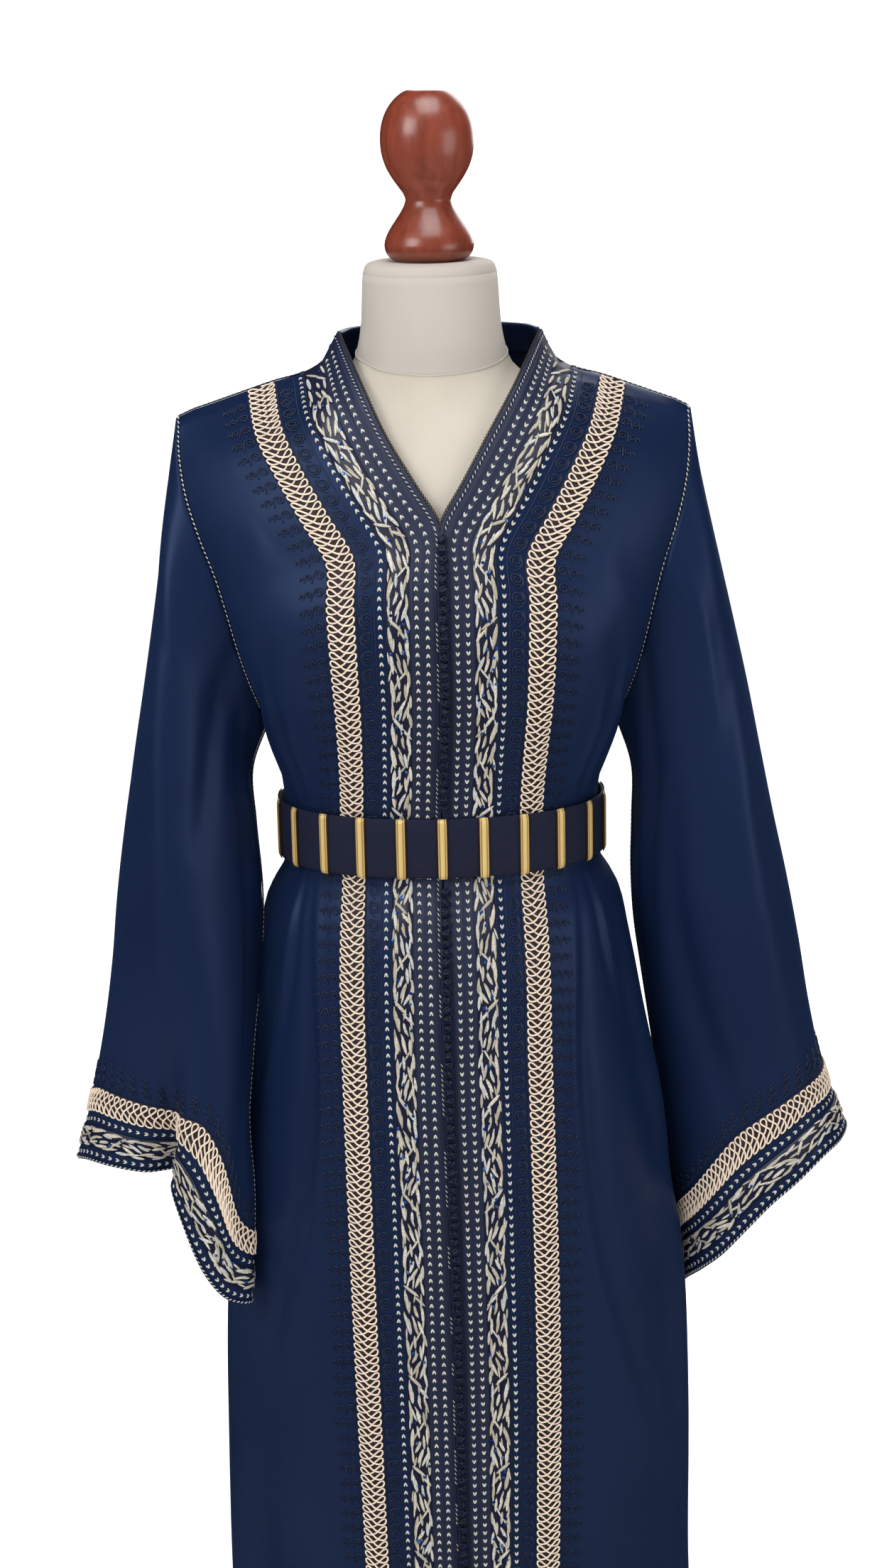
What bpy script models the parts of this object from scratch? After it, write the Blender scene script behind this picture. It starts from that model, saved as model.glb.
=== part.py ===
"""A floor-length kaftan with its belt, worn by a limbless dress form on a round stand.

The cloth pieces are thin walls cut as a maker cuts them. Every table is in millimetres,
with X to the wearer's left (the viewer's right), Y to the back and Z up from the floor.
"""

import math

import bmesh
import bpy
from mathutils import Vector
from mathutils.bvhtree import BVHTree

MM = 0.001

# Driving sizes
CLOTH = 1.2            # thickness of the crepe-satin cloth, with its facing
SEAM_GAP = 0.3         # pieces are this far apart at a seam
TRIM = 1.8             # thickness of a sewn-on band
TRIM_LIFT = 0.35       # a band lies this far off the cloth
BAND_EDGES = (0.0, 27.0, 46.0, 70.5, 93.5, 118.0)   # from the front edge: placket, leaf band, gap, braid
CUFF_EDGES = (0.0, 13.0, 33.0, 45.0, 68.0)          # from the cuff's edge: rim, leaf band, gap, braid
OUTER_CELLS = 5        # cells of a front between its last band and its side seam
NECK_CELLS = 3         # cells of the back from centre back to the shoulder's neck end
BELT_LOW, BELT_HIGH = 992.0, 1045.0
BELT_THICK = 3.0
BELT_LIFT = 2.6
BELT_RISE = 0.045      # the belt rides up towards the front by this share of its depth
BAR_COUNT = 22
BAR_WIDTH, BAR_THICK = 9.5, 1.4
BUTTON_SPANS = ((33, 988), (1056, 1299))            # heights of the button rows below and above the belt
BUTTON_SECTION = ((-3.0, 0.0), (-3.0, 1.2), (-1.5, 4.2), (1.5, 4.2), (3.0, 1.2), (3.0, 0.0))
SLEEVE_CELLS = 10      # cells of a sleeve from its armhole to its braid
SKIRT_CLEAR = 2.0      # a sleeve hangs this far off the skirt

COLOURS = {
    "navy_satin": ((0.012, 0.030, 0.105, 1.0), 0.42, 0.0),
    "navy_band": ((0.012, 0.016, 0.045, 1.0), 0.6, 0.0),
    "leaf_band": ((0.42, 0.38, 0.30, 1.0), 0.4, 0.3),
    "gold_braid": ((0.78, 0.57, 0.38, 1.0), 0.5, 0.1),
    "belt_cloth": ((0.010, 0.012, 0.030, 1.0), 0.7, 0.0),
    "gold_bar": ((0.75, 0.53, 0.20, 1.0), 0.35, 0.6),
    "knot": ((0.006, 0.008, 0.02, 1.0), 0.5, 0.0),
    "jersey": ((0.80, 0.74, 0.64, 1.0), 0.75, 0.0),
    "turned_wood": ((0.23, 0.055, 0.022, 1.0), 0.3, 0.0),
    "steel": ((0.62, 0.62, 0.64, 1.0), 0.3, 1.0),
}

# Half of the body's cloth, row by row. z_in, x_in and y_in are the front edge or centre front, z_out, x_out
# and y_front the side seam or the front of the armhole, arc how far round the quarter ellipse the row goes.
# spread widens the bands.
BODY_COLUMNS = ("z_in", "z_out", "x_in", "x_out", "y_in", "y_front", "arc", "full", "spread")
FRONT_ROWS = (
    (25, 25, 0, 216, -168, 0, 90, 2.1, 0.93),
    (275, 275, 0, 214, -165, 0, 90, 2.1, 0.93),
    (400, 400, 0, 213, -162, 0, 90, 2.1, 0.96),
    (525, 525, 0, 209, -158, 0, 90, 2.1, 0.99),
    (650, 650, 0, 202, -152, 0, 90, 2.1, 1.0),
    (760, 760, 0, 192, -146, 0, 90, 2.1, 1.0),
    (850, 850, 0, 178, -139, 0, 90, 2.1, 1.0),
    (915, 915, 0, 167, -131, 0, 90, 2.1, 1.0),
    (960, 960, 0, 156, -118, 0, 90, 2.1, 0.98),
    (988, 988, 0, 140, -103.5, 0, 90, 2.1, 0.965),
    (1018, 1018, 0, 140, -103.5, 0, 90, 2.1, 0.965),
    (1049, 1049, 0, 140, -103.5, 0, 90, 2.1, 0.965),
    (1082, 1080, 0, 145, -110, 0, 90, 2.2, 0.965),
    (1118, 1112, 0, 154, -118, 0, 90, 2.3, 0.98),
    (1152, 1137, 0, 161, -124, -24, 80, 2.4, 1.0),
    (1190, 1164, 0, 169, -129, -38, 72, 2.5, 1.03),
    (1228, 1192, 0, 176, -131, -46, 66, 2.5, 1.06),
    (1267, 1222, 0, 183, -126, -49, 62, 2.4, 1.09),
    (1305, 1254, 0, 192, -113, -47, 58, 2.2, 1.1),
    (1338, 1287, 20, 204, -100, -40, 55, 2.1, 1.1),
    (1374, 1320, 42, 214, -82, -28, 50, 2.0, 1.09),
    (1413, 1352, 63.5, 219, -56, -12, 45, 2.0, 1.07),
    (1452, 1383, 86, 220, 10, 6, 40, 2.0, 1.03),
)

# The shoulder seam, from the top of the collar's front end to the tip of the shoulder.
SHOULDER_COLUMNS = ("x", "y", "z")
SHOULDER = (
    (86, 10, 1452),
    (91, 11, 1438),
    (101, 12, 1426),
    (116, 12, 1418),
    (145, 11, 1410),
    (180, 9, 1398),
    (207, 7, 1389),
    (220, 6, 1383),
)

# How far the cloth hangs to the wearer's left at each height, which fades towards the armholes.
LEAN_COLUMNS = ("z", "lean")
LEAN = (
    (25, 2),
    (300, 4.5),
    (560, 4),
    (850, 0),
    (1050, 0),
    (1150, 4),
    (1300, 4),
    (1374, 3),
    (1413, 5.5),
    (1452, 7.5),
)

# The same rows round the back: the centre back's height and depth, and the back of the armhole.
BACK_COLUMNS = ("z_in", "y_in", "y_back", "arc", "full")
BACK_ROWS = (
    (25, 168, 0, 90, 2.1),
    (275, 164, 0, 90, 2.1),
    (400, 161, 0, 90, 2.1),
    (525, 157, 0, 90, 2.1),
    (650, 152, 0, 90, 2.1),
    (760, 146, 0, 90, 2.1),
    (850, 139, 0, 90, 2.1),
    (915, 130, 0, 90, 2.1),
    (960, 115, 0, 90, 2.1),
    (988, 97.5, 0, 90, 2.1),
    (1018, 97.5, 0, 90, 2.1),
    (1049, 97.5, 0, 90, 2.1),
    (1082, 101, 0, 90, 2.2),
    (1118, 104, 0, 90, 2.3),
    (1152, 107, 28, 80, 2.4),
    (1190, 110, 44, 72, 2.4),
    (1226, 113, 53, 66, 2.4),
    (1260, 114, 57, 62, 2.3),
    (1294, 114, 57, 58, 2.2),
    (1328, 111, 52, 55, 2.1),
    (1362, 104, 42, 50, 2.0),
    (1396, 92, 26, 45, 2.0),
    (1427, 80, 6, 40, 2.0),
)
ARMPIT = 13            # the row of both tables where the armhole starts

# Soft folds of the skirt. side is 1 on the wearer's left, around is 0 at centre front, 1 at the side seam
# and 2 at centre back, spread is its half width in the same measure, and depth is outward.
FOLD_COLUMNS = ("side", "around", "spread", "depth", "z_top", "z_full")
FOLDS = (
    (1, 0.70, 0.07, -5, 980, 600),
    (1, 0.86, 0.07, 7, 985, 700),
    (1, 1.02, 0.06, -8, 960, 500),
    (1, 1.20, 0.08, 9, 980, 500),
    (1, 1.40, 0.07, -9, 980, 450),
    (1, 1.60, 0.08, 8, 980, 500),
    (1, 1.80, 0.07, -9, 980, 450),
    (-1, 0.66, 0.07, -6, 980, 550),
    (-1, 0.84, 0.07, 8, 985, 650),
    (-1, 1.00, 0.06, -7, 960, 500),
    (-1, 1.18, 0.08, 9, 980, 500),
    (-1, 1.38, 0.07, -9, 980, 450),
    (-1, 1.60, 0.08, 9, 980, 500),
    (-1, 1.82, 0.07, -8, 980, 450),
)

# Each sleeve below its armhole, ring by ring: the heights, reaches and depths of its outer edge and its
# underarm seam, its half depths to the front and back, how far both swell out from the line between the
# edges, and how far the ring takes the cuff's own outline.
SLEEVE_COLUMNS = (
    "z_out", "z_in", "x_out", "x_in", "y_out", "y_in", "half_front", "half_back", "swell", "shape",
)
SLEEVES = {
    "right": (
        (1345, 1092, 228, 167, 4, 0, 58, 62, 12, 0),
        (1295, 1066, 236, 168, 2, -3, 64, 66, 18, 0),
        (1240, 1034, 243, 167, 0, -8, 68, 68, 20, 0),
        (1180, 998, 254, 166, -2, -14, 71, 69, 18, 0),
        (1115, 958, 266, 166, -4, -22, 74, 70, 14, 0),
        (1045, 914, 279, 167, -6, -32, 77, 71, 9, 0.02),
        (975, 866, 291, 168, -7, -44, 79, 72, 5, 0.08),
        (905, 816, 299, 169, -8, -56, 80, 72, 2, 0.18),
        (842, 764, 309, 170, -10, -68, 80, 72, 0, 0.33),
        (788, 712, 320, 172, -13, -80, 80, 72, 0, 0.52),
        (742, 658, 331, 176, -16, -90, 80, 72, 0, 0.76),
        (706, 598, 341, 181, -20, -98, 80, 72, 0, 1),
    ),
    "left": (
        (1345, 1092, 226, 165, 4, 1, 58, 62, 12, 0),
        (1295, 1066, 238, 171, 4, 3, 62, 66, 18, 0),
        (1240, 1034, 250, 172, 4, 6, 66, 68, 20, 0),
        (1180, 998, 264, 171, 4, 10, 70, 69, 18, 0),
        (1115, 958, 278, 171, 3, 14, 74, 70, 14, 0),
        (1045, 914, 291, 174, 2, 18, 78, 71, 9, 0),
        (975, 864, 306, 181, 2, 21, 80, 72, 5, 0.03),
        (910, 808, 317, 189, 2, 24, 80, 73, 2, 0.1),
        (852, 750, 324, 197, 2, 26, 80, 75, 0, 0.2),
        (806, 690, 328, 205, 2, 26, 80, 78, 0, 0.34),
        (762, 625, 334, 211, 1, 22, 80, 82, 0, 0.6),
        (716, 556, 342, 216, 0, 14, 80, 86, 0, 1),
    ),
}
# Each cuff's edge point by point, from its outer corner round by the front to the underarm seam and back.
CUFF_COLUMNS = ("x", "y", "z")
CUFFS = {
    "right": (
        (342, -16, 707),
        (328, -50, 718),
        (303, -70, 719),
        (272, -77, 716),
        (243, -62, 712),
        (249, -90, 706),
        (237, -110, 672),
        (222, -118, 636),
        (203, -114, 608),
        (182, -96, 595),
        (188, -62, 598),
        (208, -24, 612),
        (216, 14, 634),
        (228, 45, 658),
        (252, 64, 682),
        (281, 66, 697),
        (309, 50, 703),
        (331, 20, 705),
    ),
    "left": (
        (368, 0, 716),
        (359, -32, 714),
        (340, -56, 708),
        (316, -66, 688),
        (292, -68, 667),
        (270, -66, 642),
        (249, -60, 616),
        (232, -45, 595),
        (221, -18, 574),
        (218, 14, 556),
        (222, 44, 556),
        (233, 70, 568),
        (252, 90, 592),
        (277, 100, 624),
        (304, 100, 656),
        (330, 88, 684),
        (350, 66, 704),
        (363, 34, 714),
    ),
}

# The dress form's body, ring by ring from the hips to the neck seam.
TORSO_COLUMNS = ("z", "half", "front", "back", "full")
TORSO = (
    (800, 148, -106, 108, 2.1),
    (860, 156, -110, 112, 2.1),
    (920, 150, -106, 108, 2.1),
    (975, 132, -94, 92, 2.1),
    (1020, 126, -89, 84, 2.1),
    (1070, 130, -94, 86, 2.1),
    (1130, 142, -108, 91, 2.2),
    (1190, 150, -118, 98, 2.3),
    (1240, 152, -118, 103, 2.3),
    (1290, 156, -108, 104, 2.2),
    (1330, 164, -96, 99, 2.0),
    (1358, 176, -84, 90, 1.8),
    (1378, 188, -76, 80, 1.6),
    (1394, 150, -70, 72, 1.5),
    (1406, 104, -67, 67, 1.6),
    (1417, 79, -65, 64, 1.8),
    (1428, 68, -64.5, 62, 1.9),
    (1437, 65, -65, 61, 2.0),
)
TORSO_SIDES = 28
TORSO_CLEAR = 0.4      # the form's shoulders carry the cloth at this distance
TORSO_AXIS_Y = 0.0

# Turned profiles, radius then height.
NECK_PROFILE = ((64.5, 1437.4), (62, 1452), (59, 1475), (57.5, 1500), (56, 1508), (51, 1512))
FINIAL_PROFILE = (
    (31, 1512.5), (37, 1519), (38, 1526), (34, 1537), (26, 1549), (20, 1558), (19.5, 1564),
    (24, 1572), (32, 1583), (38, 1597), (39.5, 1610), (37.5, 1625), (31, 1640), (20, 1650), (13, 1653.5),
)
POLE_RADIUS = 16.0
BASE_PROFILE = ((150, 0), (150, 10), (144, 16), (40, 21), (26, 22))


def as_rows(columns, table):
    """Gives each row of a table as a dict with its columns' names."""
    return [dict(zip(columns, row)) for row in table]


FRONT = as_rows(BODY_COLUMNS, FRONT_ROWS)
BACK = as_rows(BACK_COLUMNS, BACK_ROWS)


def smooth(t):
    t = min(1.0, max(0.0, t))
    return t * t * (3 - 2 * t)


def fold_depth(side, around, z):
    """How far the skirt's folds push the cloth out, at a share of the way round and a height."""
    total = 0.0
    for fold in as_rows(FOLD_COLUMNS, FOLDS):
        if fold["side"] != side:
            continue
        grown = smooth((fold["z_top"] - z) / (fold["z_top"] - fold["z_full"]))
        total += fold["depth"] * grown * math.exp(-(((around - fold["around"]) / fold["spread"]) ** 2))
    return total


def quarter(share, arc, full, inner, outer):
    """A point of a quarter ellipse from inner to outer, each (x, y), at a share of its arc."""
    phi = math.radians(arc) * share
    end = math.radians(arc)
    across = (math.sin(phi) / math.sin(end)) ** (2 / full)
    depth = ((math.cos(phi) - math.cos(end)) / (1 - math.cos(end))) ** (2 / full)
    return (
        inner[0] + (outer[0] - inner[0]) * across,
        outer[1] + (inner[1] - outer[1]) * depth,
        across,
    )


def along(points, distances):
    """Points at these distances along a line of points."""
    found, walked, k = [], 0.0, 0
    for distance in distances:
        while k < len(points) - 2 and walked + (points[k + 1] - points[k]).length < distance:
            walked += (points[k + 1] - points[k]).length
            k += 1
        step = (points[k + 1] - points[k]).length
        found.append(points[k].lerp(points[k + 1], min(1.0, (distance - walked) / step)))
    return found


def line_length(points):
    return sum((b - a).length for a, b in zip(points, points[1:]))


def between(table, z):
    """A value of a table of (z, value) rows at a height."""
    for (low, first), (high, second) in zip(table, table[1:]):
        if z <= high:
            return first + (second - first) * max(0.0, (z - low) / (high - low))
    return table[-1][1]


def front_line(row, side, steps=60):
    """A front's row from its front edge to its outer edge, as close points."""
    points = []
    for k in range(steps + 1):
        x, y, across = quarter(
            k / steps, row["arc"], row["full"], (row["x_in"], row["y_in"]), (row["x_out"], row["y_front"])
        )
        z = row["z_in"] + (row["z_out"] - row["z_in"]) * across ** 0.7
        bulge = fold_depth(side, k / steps, z) if row["arc"] == 90 else 0.0
        away = Vector((x, y, 0)).normalized()
        points.append(Vector((x, y, z)) + away * bulge)
    return points


def front_row(row, side):
    """A front's row at its bands' edges and then evenly to its outer edge."""
    points = [Vector(p) for p in SHOULDER] if row is FRONT[-1] else front_line(row, side)
    edges = [d * row["spread"] for d in BAND_EDGES]
    rest = line_length(points) - edges[-1]
    return along(points, edges + [edges[-1] + rest * k / OUTER_CELLS for k in range(1, OUTER_CELLS + 1)])


def back_row(index, side):
    """Half a row of the back from centre back to its outer edge."""
    row, front = BACK[index], FRONT[index]
    cells = NECK_CELLS + len(BAND_EDGES) - 2 + OUTER_CELLS
    if row is BACK[-1]:
        seam = front_row(FRONT[-1], side)[1:]
        neck = []
        for k in range(NECK_CELLS):
            phi = math.radians(90 * k / NECK_CELLS)
            y = seam[0].y + (row["y_in"] - seam[0].y) * math.cos(phi)
            neck.append(Vector((seam[0].x * math.sin(phi), y, seam[0].z)))
        return neck + seam
    top = back_row(len(BACK) - 1, side)
    turn = smooth((index - ARMPIT) / (len(BACK) - 1 - ARMPIT))
    points = []
    for k in range(cells + 1):
        arc = math.radians(row["arc"])
        under_seam = math.asin(min(1.0, (top[k].x / top[-1].x) ** (row["full"] / 2)) * math.sin(arc)) / arc
        share = k / cells + (under_seam - k / cells) * turn
        x, y, across = quarter(
            share, row["arc"], row["full"], (0, row["y_in"]), (front["x_out"], row["y_back"])
        )
        z = row["z_in"] + (front["z_out"] - row["z_in"]) * across ** 1.3
        bulge = fold_depth(side, 2 - share, z) if row["arc"] == 90 else 0.0
        points.append(Vector((x, y, z)) + Vector((x, y, 0)).normalized() * bulge)
    return points


def lean(point):
    """Moves a point sideways as the worn cloth hangs."""
    fade = 1 - min(1.0, abs(point.x) / 225) ** 4 if point.z > 1050 else 1.0
    return point + Vector((between(LEAN, point.z) * fade, 0, 0))


def mirrored(points, side):
    return [Vector((p.x * side, p.y, p.z)) for p in points]


def normals(grid, closed=False):
    """Outward normals of a grid whose columns run to the left of its rows' rise, seen from outside."""
    rows, cols = len(grid), len(grid[0])
    found = []
    for i in range(rows):
        line = []
        for j in range(cols):
            before, after = (j - 1, j + 1) if closed else (max(j - 1, 0), min(j + 1, cols - 1))
            here = grid[i][j]
            up = (grid[min(i + 1, rows - 1)][j] - grid[max(i - 1, 0)][j]).normalized()
            one = (here - grid[i][before % cols]).cross(up).normalized()
            two = (grid[i][after % cols] - here).cross(up).normalized()
            way = (one + two).normalized()
            line.append(way / max(0.5, way.dot(one or two)))
        found.append(line)
    return found


def shifted(grid, directions, distance):
    return [[p + n * distance for p, n in zip(row, way)] for row, way in zip(grid, directions)]


def material(name):
    found = bpy.data.materials.get(name)
    if found:
        return found
    colour, roughness, metallic = COLOURS[name]
    found = bpy.data.materials.new(name)
    found.use_nodes = True
    shader = found.node_tree.nodes["Principled BSDF"]
    shader.inputs["Base Color"].default_value = colour
    shader.inputs["Roughness"].default_value = roughness
    shader.inputs["Metallic"].default_value = metallic
    found.diffuse_color = colour
    return found


def place(name, bm, finish):
    """Makes a bmesh, in millimetres, the named object in metres."""
    bmesh.ops.recalc_face_normals(bm, faces=bm.faces)
    bmesh.ops.scale(bm, vec=(MM, MM, MM), verts=bm.verts)
    mesh = bpy.data.meshes.new(name)
    bm.to_mesh(mesh)
    bm.free()
    mesh.shade_smooth()
    mesh.set_sharp_from_angle(angle=math.radians(50))
    mesh.materials.append(material(finish))
    made = bpy.data.objects.new(name, mesh)
    bpy.context.scene.collection.objects.link(made)
    return made


def wall(name, outer, inner, finish, closed=False):
    """A closed wall: a sheet is laid on the outer grid and extruded to the inner one of the same size."""
    rows, cols = len(outer), len(outer[0])
    bm = bmesh.new()
    row_of = bm.verts.layers.int.new("row")
    col_of = bm.verts.layers.int.new("col")
    lines = []
    for i in range(rows):
        line = []
        for j in range(cols):
            vert = bm.verts.new(outer[i][j])
            vert[row_of], vert[col_of] = i, j
            line.append(vert)
        lines.append(line)
    for i in range(rows - 1):
        for j in range(cols if closed else cols - 1):
            after = (j + 1) % cols
            bm.faces.new((lines[i][j], lines[i][after], lines[i + 1][after], lines[i + 1][j]))
    made = bmesh.ops.extrude_face_region(bm, geom=bm.faces[:], use_keep_orig=True)["geom"]
    for vert in made:
        if isinstance(vert, bmesh.types.BMVert):
            vert.co = inner[vert[row_of]][vert[col_of]]
    bmesh.ops.triangulate(bm, faces=bm.faces[:])
    return place(name, bm, finish)


def turned(name, profile, sides, finish):
    """A solid of revolution about Z from a profile of (radius, height)."""
    bm = bmesh.new()
    verts = [bm.verts.new((r, 0, z)) for r, z in profile]
    edges = [bm.edges.new(pair) for pair in zip(verts, verts[1:])]
    bmesh.ops.spin(
        bm, geom=verts + edges, cent=(0, 0, 0), axis=(0, 0, 1), angle=math.tau, steps=sides, use_merge=True
    )
    bmesh.ops.remove_doubles(bm, verts=bm.verts[:], dist=0.001)
    rims = [e for e in bm.edges if e.is_boundary]
    bmesh.ops.holes_fill(bm, edges=rims, sides=0)
    return place(name, bm, finish)


def body_grids():
    """The outer grids of both fronts and the back, with their outward directions."""
    grids = {}
    for side, name in ((1, "front_left"), (-1, "front_right")):
        half = [front_row(row, side) for row in FRONT]
        for i, line in enumerate(half):
            if FRONT[i]["x_in"] == 0:
                line[0].x += SEAM_GAP / 2
            if i <= ARMPIT:
                line[-1].y -= SEAM_GAP / 2
        for point in half[-1]:
            point.y -= SEAM_GAP / 2
        ways = normals(half)
        for i, line in enumerate(ways):
            if FRONT[i]["x_in"] == 0:
                line[0] = Vector((0, line[0].y, line[0].z)).normalized()
            if i <= ARMPIT:
                line[-1] = Vector((line[-1].x, 0, line[-1].z)).normalized()
        ways[-1] = [Vector((n.x, 0, n.z)).normalized() for n in ways[-1]]
        grids[name] = (
            [[lean(p) for p in mirrored(line, side)] for line in half],
            [mirrored(line, side) for line in ways],
        )
    lines = []
    for index in range(len(BACK)):
        left, right = back_row(index, 1), back_row(index, -1)
        line = list(reversed(left)) + mirrored(right[1:], -1)
        for point in line:
            if index == len(BACK) - 1:
                point.y += SEAM_GAP / 2
        if index <= ARMPIT:
            line[0].y += SEAM_GAP / 2
            line[-1].y += SEAM_GAP / 2
        lines.append(line)
    ways = normals(lines)
    neck = len(lines[0]) // 2
    for i, line in enumerate(ways):
        if i <= ARMPIT:
            for j in (0, -1):
                line[j] = Vector((line[j].x, 0, line[j].z)).normalized()
    for j, way in enumerate(ways[-1]):
        if abs(j - neck) >= NECK_CELLS:
            ways[-1][j] = Vector((way.x, 0, way.z)).normalized()
    grids["back"] = ([[lean(p) for p in line] for line in lines], ways)
    return grids


def strip(name, grid, first, last, finish, rows=None, trim=TRIM):
    """A band sewn on a front between two of its columns, made from its points and moved out."""
    points, ways = grid
    rows = rows or range(len(points))
    inset = SEAM_GAP / 2
    low, high = [], []
    for i in rows:
        under, over = [], []
        for j in range(first, last + 1):
            point, way = points[i][j], ways[i][j]
            if j == first and first > 0:
                point = point + (points[i][j + 1] - point).normalized() * inset
            if j == last:
                point = point + (points[i][j - 1] - point).normalized() * inset
            under.append(point + way * TRIM_LIFT)
            over.append(point + way * (TRIM_LIFT + trim))
        low.append(under)
        high.append(over)
    return wall(name, high, low, finish)


def armhole(grids, side):
    """The seam round an armhole, from the shoulder tip down the front to the armpit and up the back."""
    front = grids["front_left" if side > 0 else "front_right"][0]
    back = grids["back"][0]
    column = 0 if side > 0 else -1
    down = [front[i][-1] for i in range(len(front) - 1, ARMPIT, -1)]
    up = [back[i][column] for i in range(ARMPIT, len(back) - 1)]
    top = (front[-1][-1] + back[-1][column]) / 2
    low = (front[ARMPIT][-1] + back[ARMPIT][column]) / 2
    return [top] + down[1:] + [low] + up[1:]


def sleeve_rings(grids, side, name):
    """A sleeve's rings from its armhole to its cuff, each from its outer edge round by the front."""
    seam = armhole(grids, side)
    count = len(seam)
    first = []
    for j, point in enumerate(seam):
        top = max(0.0, math.cos(math.tau * j / count)) ** 2
        first.append(point + Vector((side * (SEAM_GAP + 0.25 + CLOTH * 1.1 * top), 0, -0.2 * top)))
    rings = [first] + [sleeve_oval(row, count, side) for row in as_rows(SLEEVE_COLUMNS, SLEEVES[name])]
    plain = list(rings[-1])
    for ring, row in zip(rings[1:], as_rows(SLEEVE_COLUMNS, SLEEVES[name])):
        for j, (x, y, z) in enumerate(CUFFS[name]):
            ring[j] = ring[j] + (Vector((side * x, y, z)) - plain[j]) * row["shape"]
    return from_cuff(rings, grids)


def sleeve_oval(row, count, side):
    ring = []
    for j in range(count):
        psi = math.tau * j / count
        share = (1 - math.cos(psi)) / 2
        half = row["half_front"] if math.sin(psi) > 0 else row["half_back"]
        x = row["x_out"] + (row["x_in"] - row["x_out"]) * share + row["swell"] * math.sin(psi) ** 2
        y = row["y_out"] + (row["y_in"] - row["y_out"]) * share - half * math.sin(psi)
        z = row["z_out"] + (row["z_in"] - row["z_out"]) * share
        ring.append(Vector((side * x, y, z)))
    return ring


def from_cuff(rings, grids):
    """The sleeve's rings anew, the lowest at its bands' edges, and none of them inside the skirt."""
    trees = [BVHTree.FromPolygons(*sheet_tree(grids[name][0])) for name in grids]
    columns = []
    cuff = rings[-1]
    for j, column in enumerate(zip(*reversed(rings))):
        rim = (cuff[(j + 1) % len(cuff)] - cuff[j - 1]).normalized()
        slant = max(0.5, rim.cross((column[1] - column[0]).normalized()).length)
        edges = [d / slant for d in CUFF_EDGES]
        rest = line_length(column) - edges[-1]
        edges += [edges[-1] + rest * k / SLEEVE_CELLS for k in range(1, SLEEVE_CELLS + 1)]
        columns.append(along(column, edges))
    made = [list(ring) for ring in zip(*columns)][::-1]
    for i, ring in enumerate(made[3:], 3):
        clear = SKIRT_CLEAR if i < len(made) - 5 else SKIRT_CLEAR + TRIM_LIFT + TRIM
        settle([ring], lambda point: off_skirt(point, trees, clear))
    return made


def settle(rings, place_for):
    """Moves rings' points until they and the points halfway between neighbours are where place_for allows."""
    count = len(rings[0])
    for _ in range(4):
        moves = [[place_for(p) - p for p in ring] for ring in rings]
        for i, ring in enumerate(rings):
            for j in range(count):
                ends = [(i, (j + 1) % count)]
                if i + 1 < len(rings):
                    ends += [(i + 1, j), (i + 1, (j + 1) % count)]
                for a, b in ends:
                    halfway = (ring[j] + rings[a][b]) / 2
                    move = place_for(halfway) - halfway
                    moves[i][j] = max(moves[i][j], move, key=lambda v: v.length)
                    moves[a][b] = max(moves[a][b], move, key=lambda v: v.length)
        for ring, shifts in zip(rings, moves):
            ring[:] = [p + move for p, move in zip(ring, shifts)]


def off_skirt(point, trees, clear):
    """The point, or the first one clear of the skirt on the way out to it."""
    start = Vector((0, 0, point.z))
    way = (point - start).normalized()
    reach = (point - start).length
    for tree in trees:
        hit = tree.ray_cast(start, way)[3]
        if hit is not None:
            reach = max(reach, hit + clear)
    return start + way * reach


def make_sleeve(grids, side, name):
    rings = sleeve_rings(grids, side, name)
    ways = normals(rings, closed=True)
    if side < 0:
        ways = [[-n for n in line] for line in ways]
    wall(f"sleeve_{name}", rings, shifted(rings, ways, -CLOTH), "navy_satin", closed=True)
    for band, finish, last in (("braid", "gold_braid", -4), ("leaf", "leaf_band", -2)):
        rows = slice(last - 1, last + 1 or None)
        over, under = shifted(rings, ways, TRIM_LIFT + TRIM), shifted(rings, ways, TRIM_LIFT)
        wall(f"cuff_{band}_{name}", over[rows], under[rows], finish, closed=True)
    return rings, ways


def make_collar(grids):
    """The band that stands round the back of the neck, as thick as a front and its placket together."""
    back, _ = grids["back"]
    neck = len(back[0]) // 2
    seam = back[-1][neck - NECK_CELLS:neck + NECK_CELLS + 1]
    centre = (seam[0] + seam[-1]) / 2
    shrink = (SHOULDER[0][0] - 1.0) / (seam[0] - centre).length
    low, high = [], []
    for point in seam:
        out = Vector((point.x - centre.x, point.y - centre.y, 0))
        low.append(point + Vector((0, 0, SEAM_GAP + 0.4)))
        top = Vector((centre.x + out.x * shrink, centre.y + out.y * 0.97, SHOULDER[0][2]))
        high.append(top)
    for line in (low, high):
        line[0].y += SEAM_GAP
        line[-1].y += SEAM_GAP
    ways = []
    for line in (low, high):
        row = []
        for point in line:
            way = Vector((point.x - centre.x, point.y - centre.y, 0))
            row.append(way.normalized())
        row[0], row[-1] = Vector((1, 0, 0)), Vector((-1, 0, 0))
        ways.append(row)
    grid = [low, [a.lerp(b, 0.5) for a, b in zip(low, high)], high]
    ways = [ways[0], ways[0], ways[1]]
    wall("collar", shifted(grid, ways, TRIM_LIFT + TRIM), shifted(grid, ways, -CLOTH), "navy_band")


def waist_loop(grids):
    """The closed outline of the cloth under the belt, with its outward directions."""
    level = next(i for i, row in enumerate(FRONT) if row["z_in"] == 1018)
    points, ways = [], []
    left, right, back = (grids[name] for name in ("front_left", "front_right", "back"))
    for source, order in ((left, 1), (back, 1), (right, -1)):
        line, way = source[0][level], source[1][level]
        line, way = (line, way) if order > 0 else (line[::-1], way[::-1])
        points += line
        ways += way
    loop, outs = [], []
    for point, way in zip(points, ways):
        if loop and (loop[-1] - point).length < 2:
            continue
        loop.append(point)
        outs.append(Vector((way.x, way.y, 0)).normalized())
    if (loop[0] - loop[-1]).length < 2:
        loop.pop()
        outs.pop()
    return loop, outs


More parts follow.
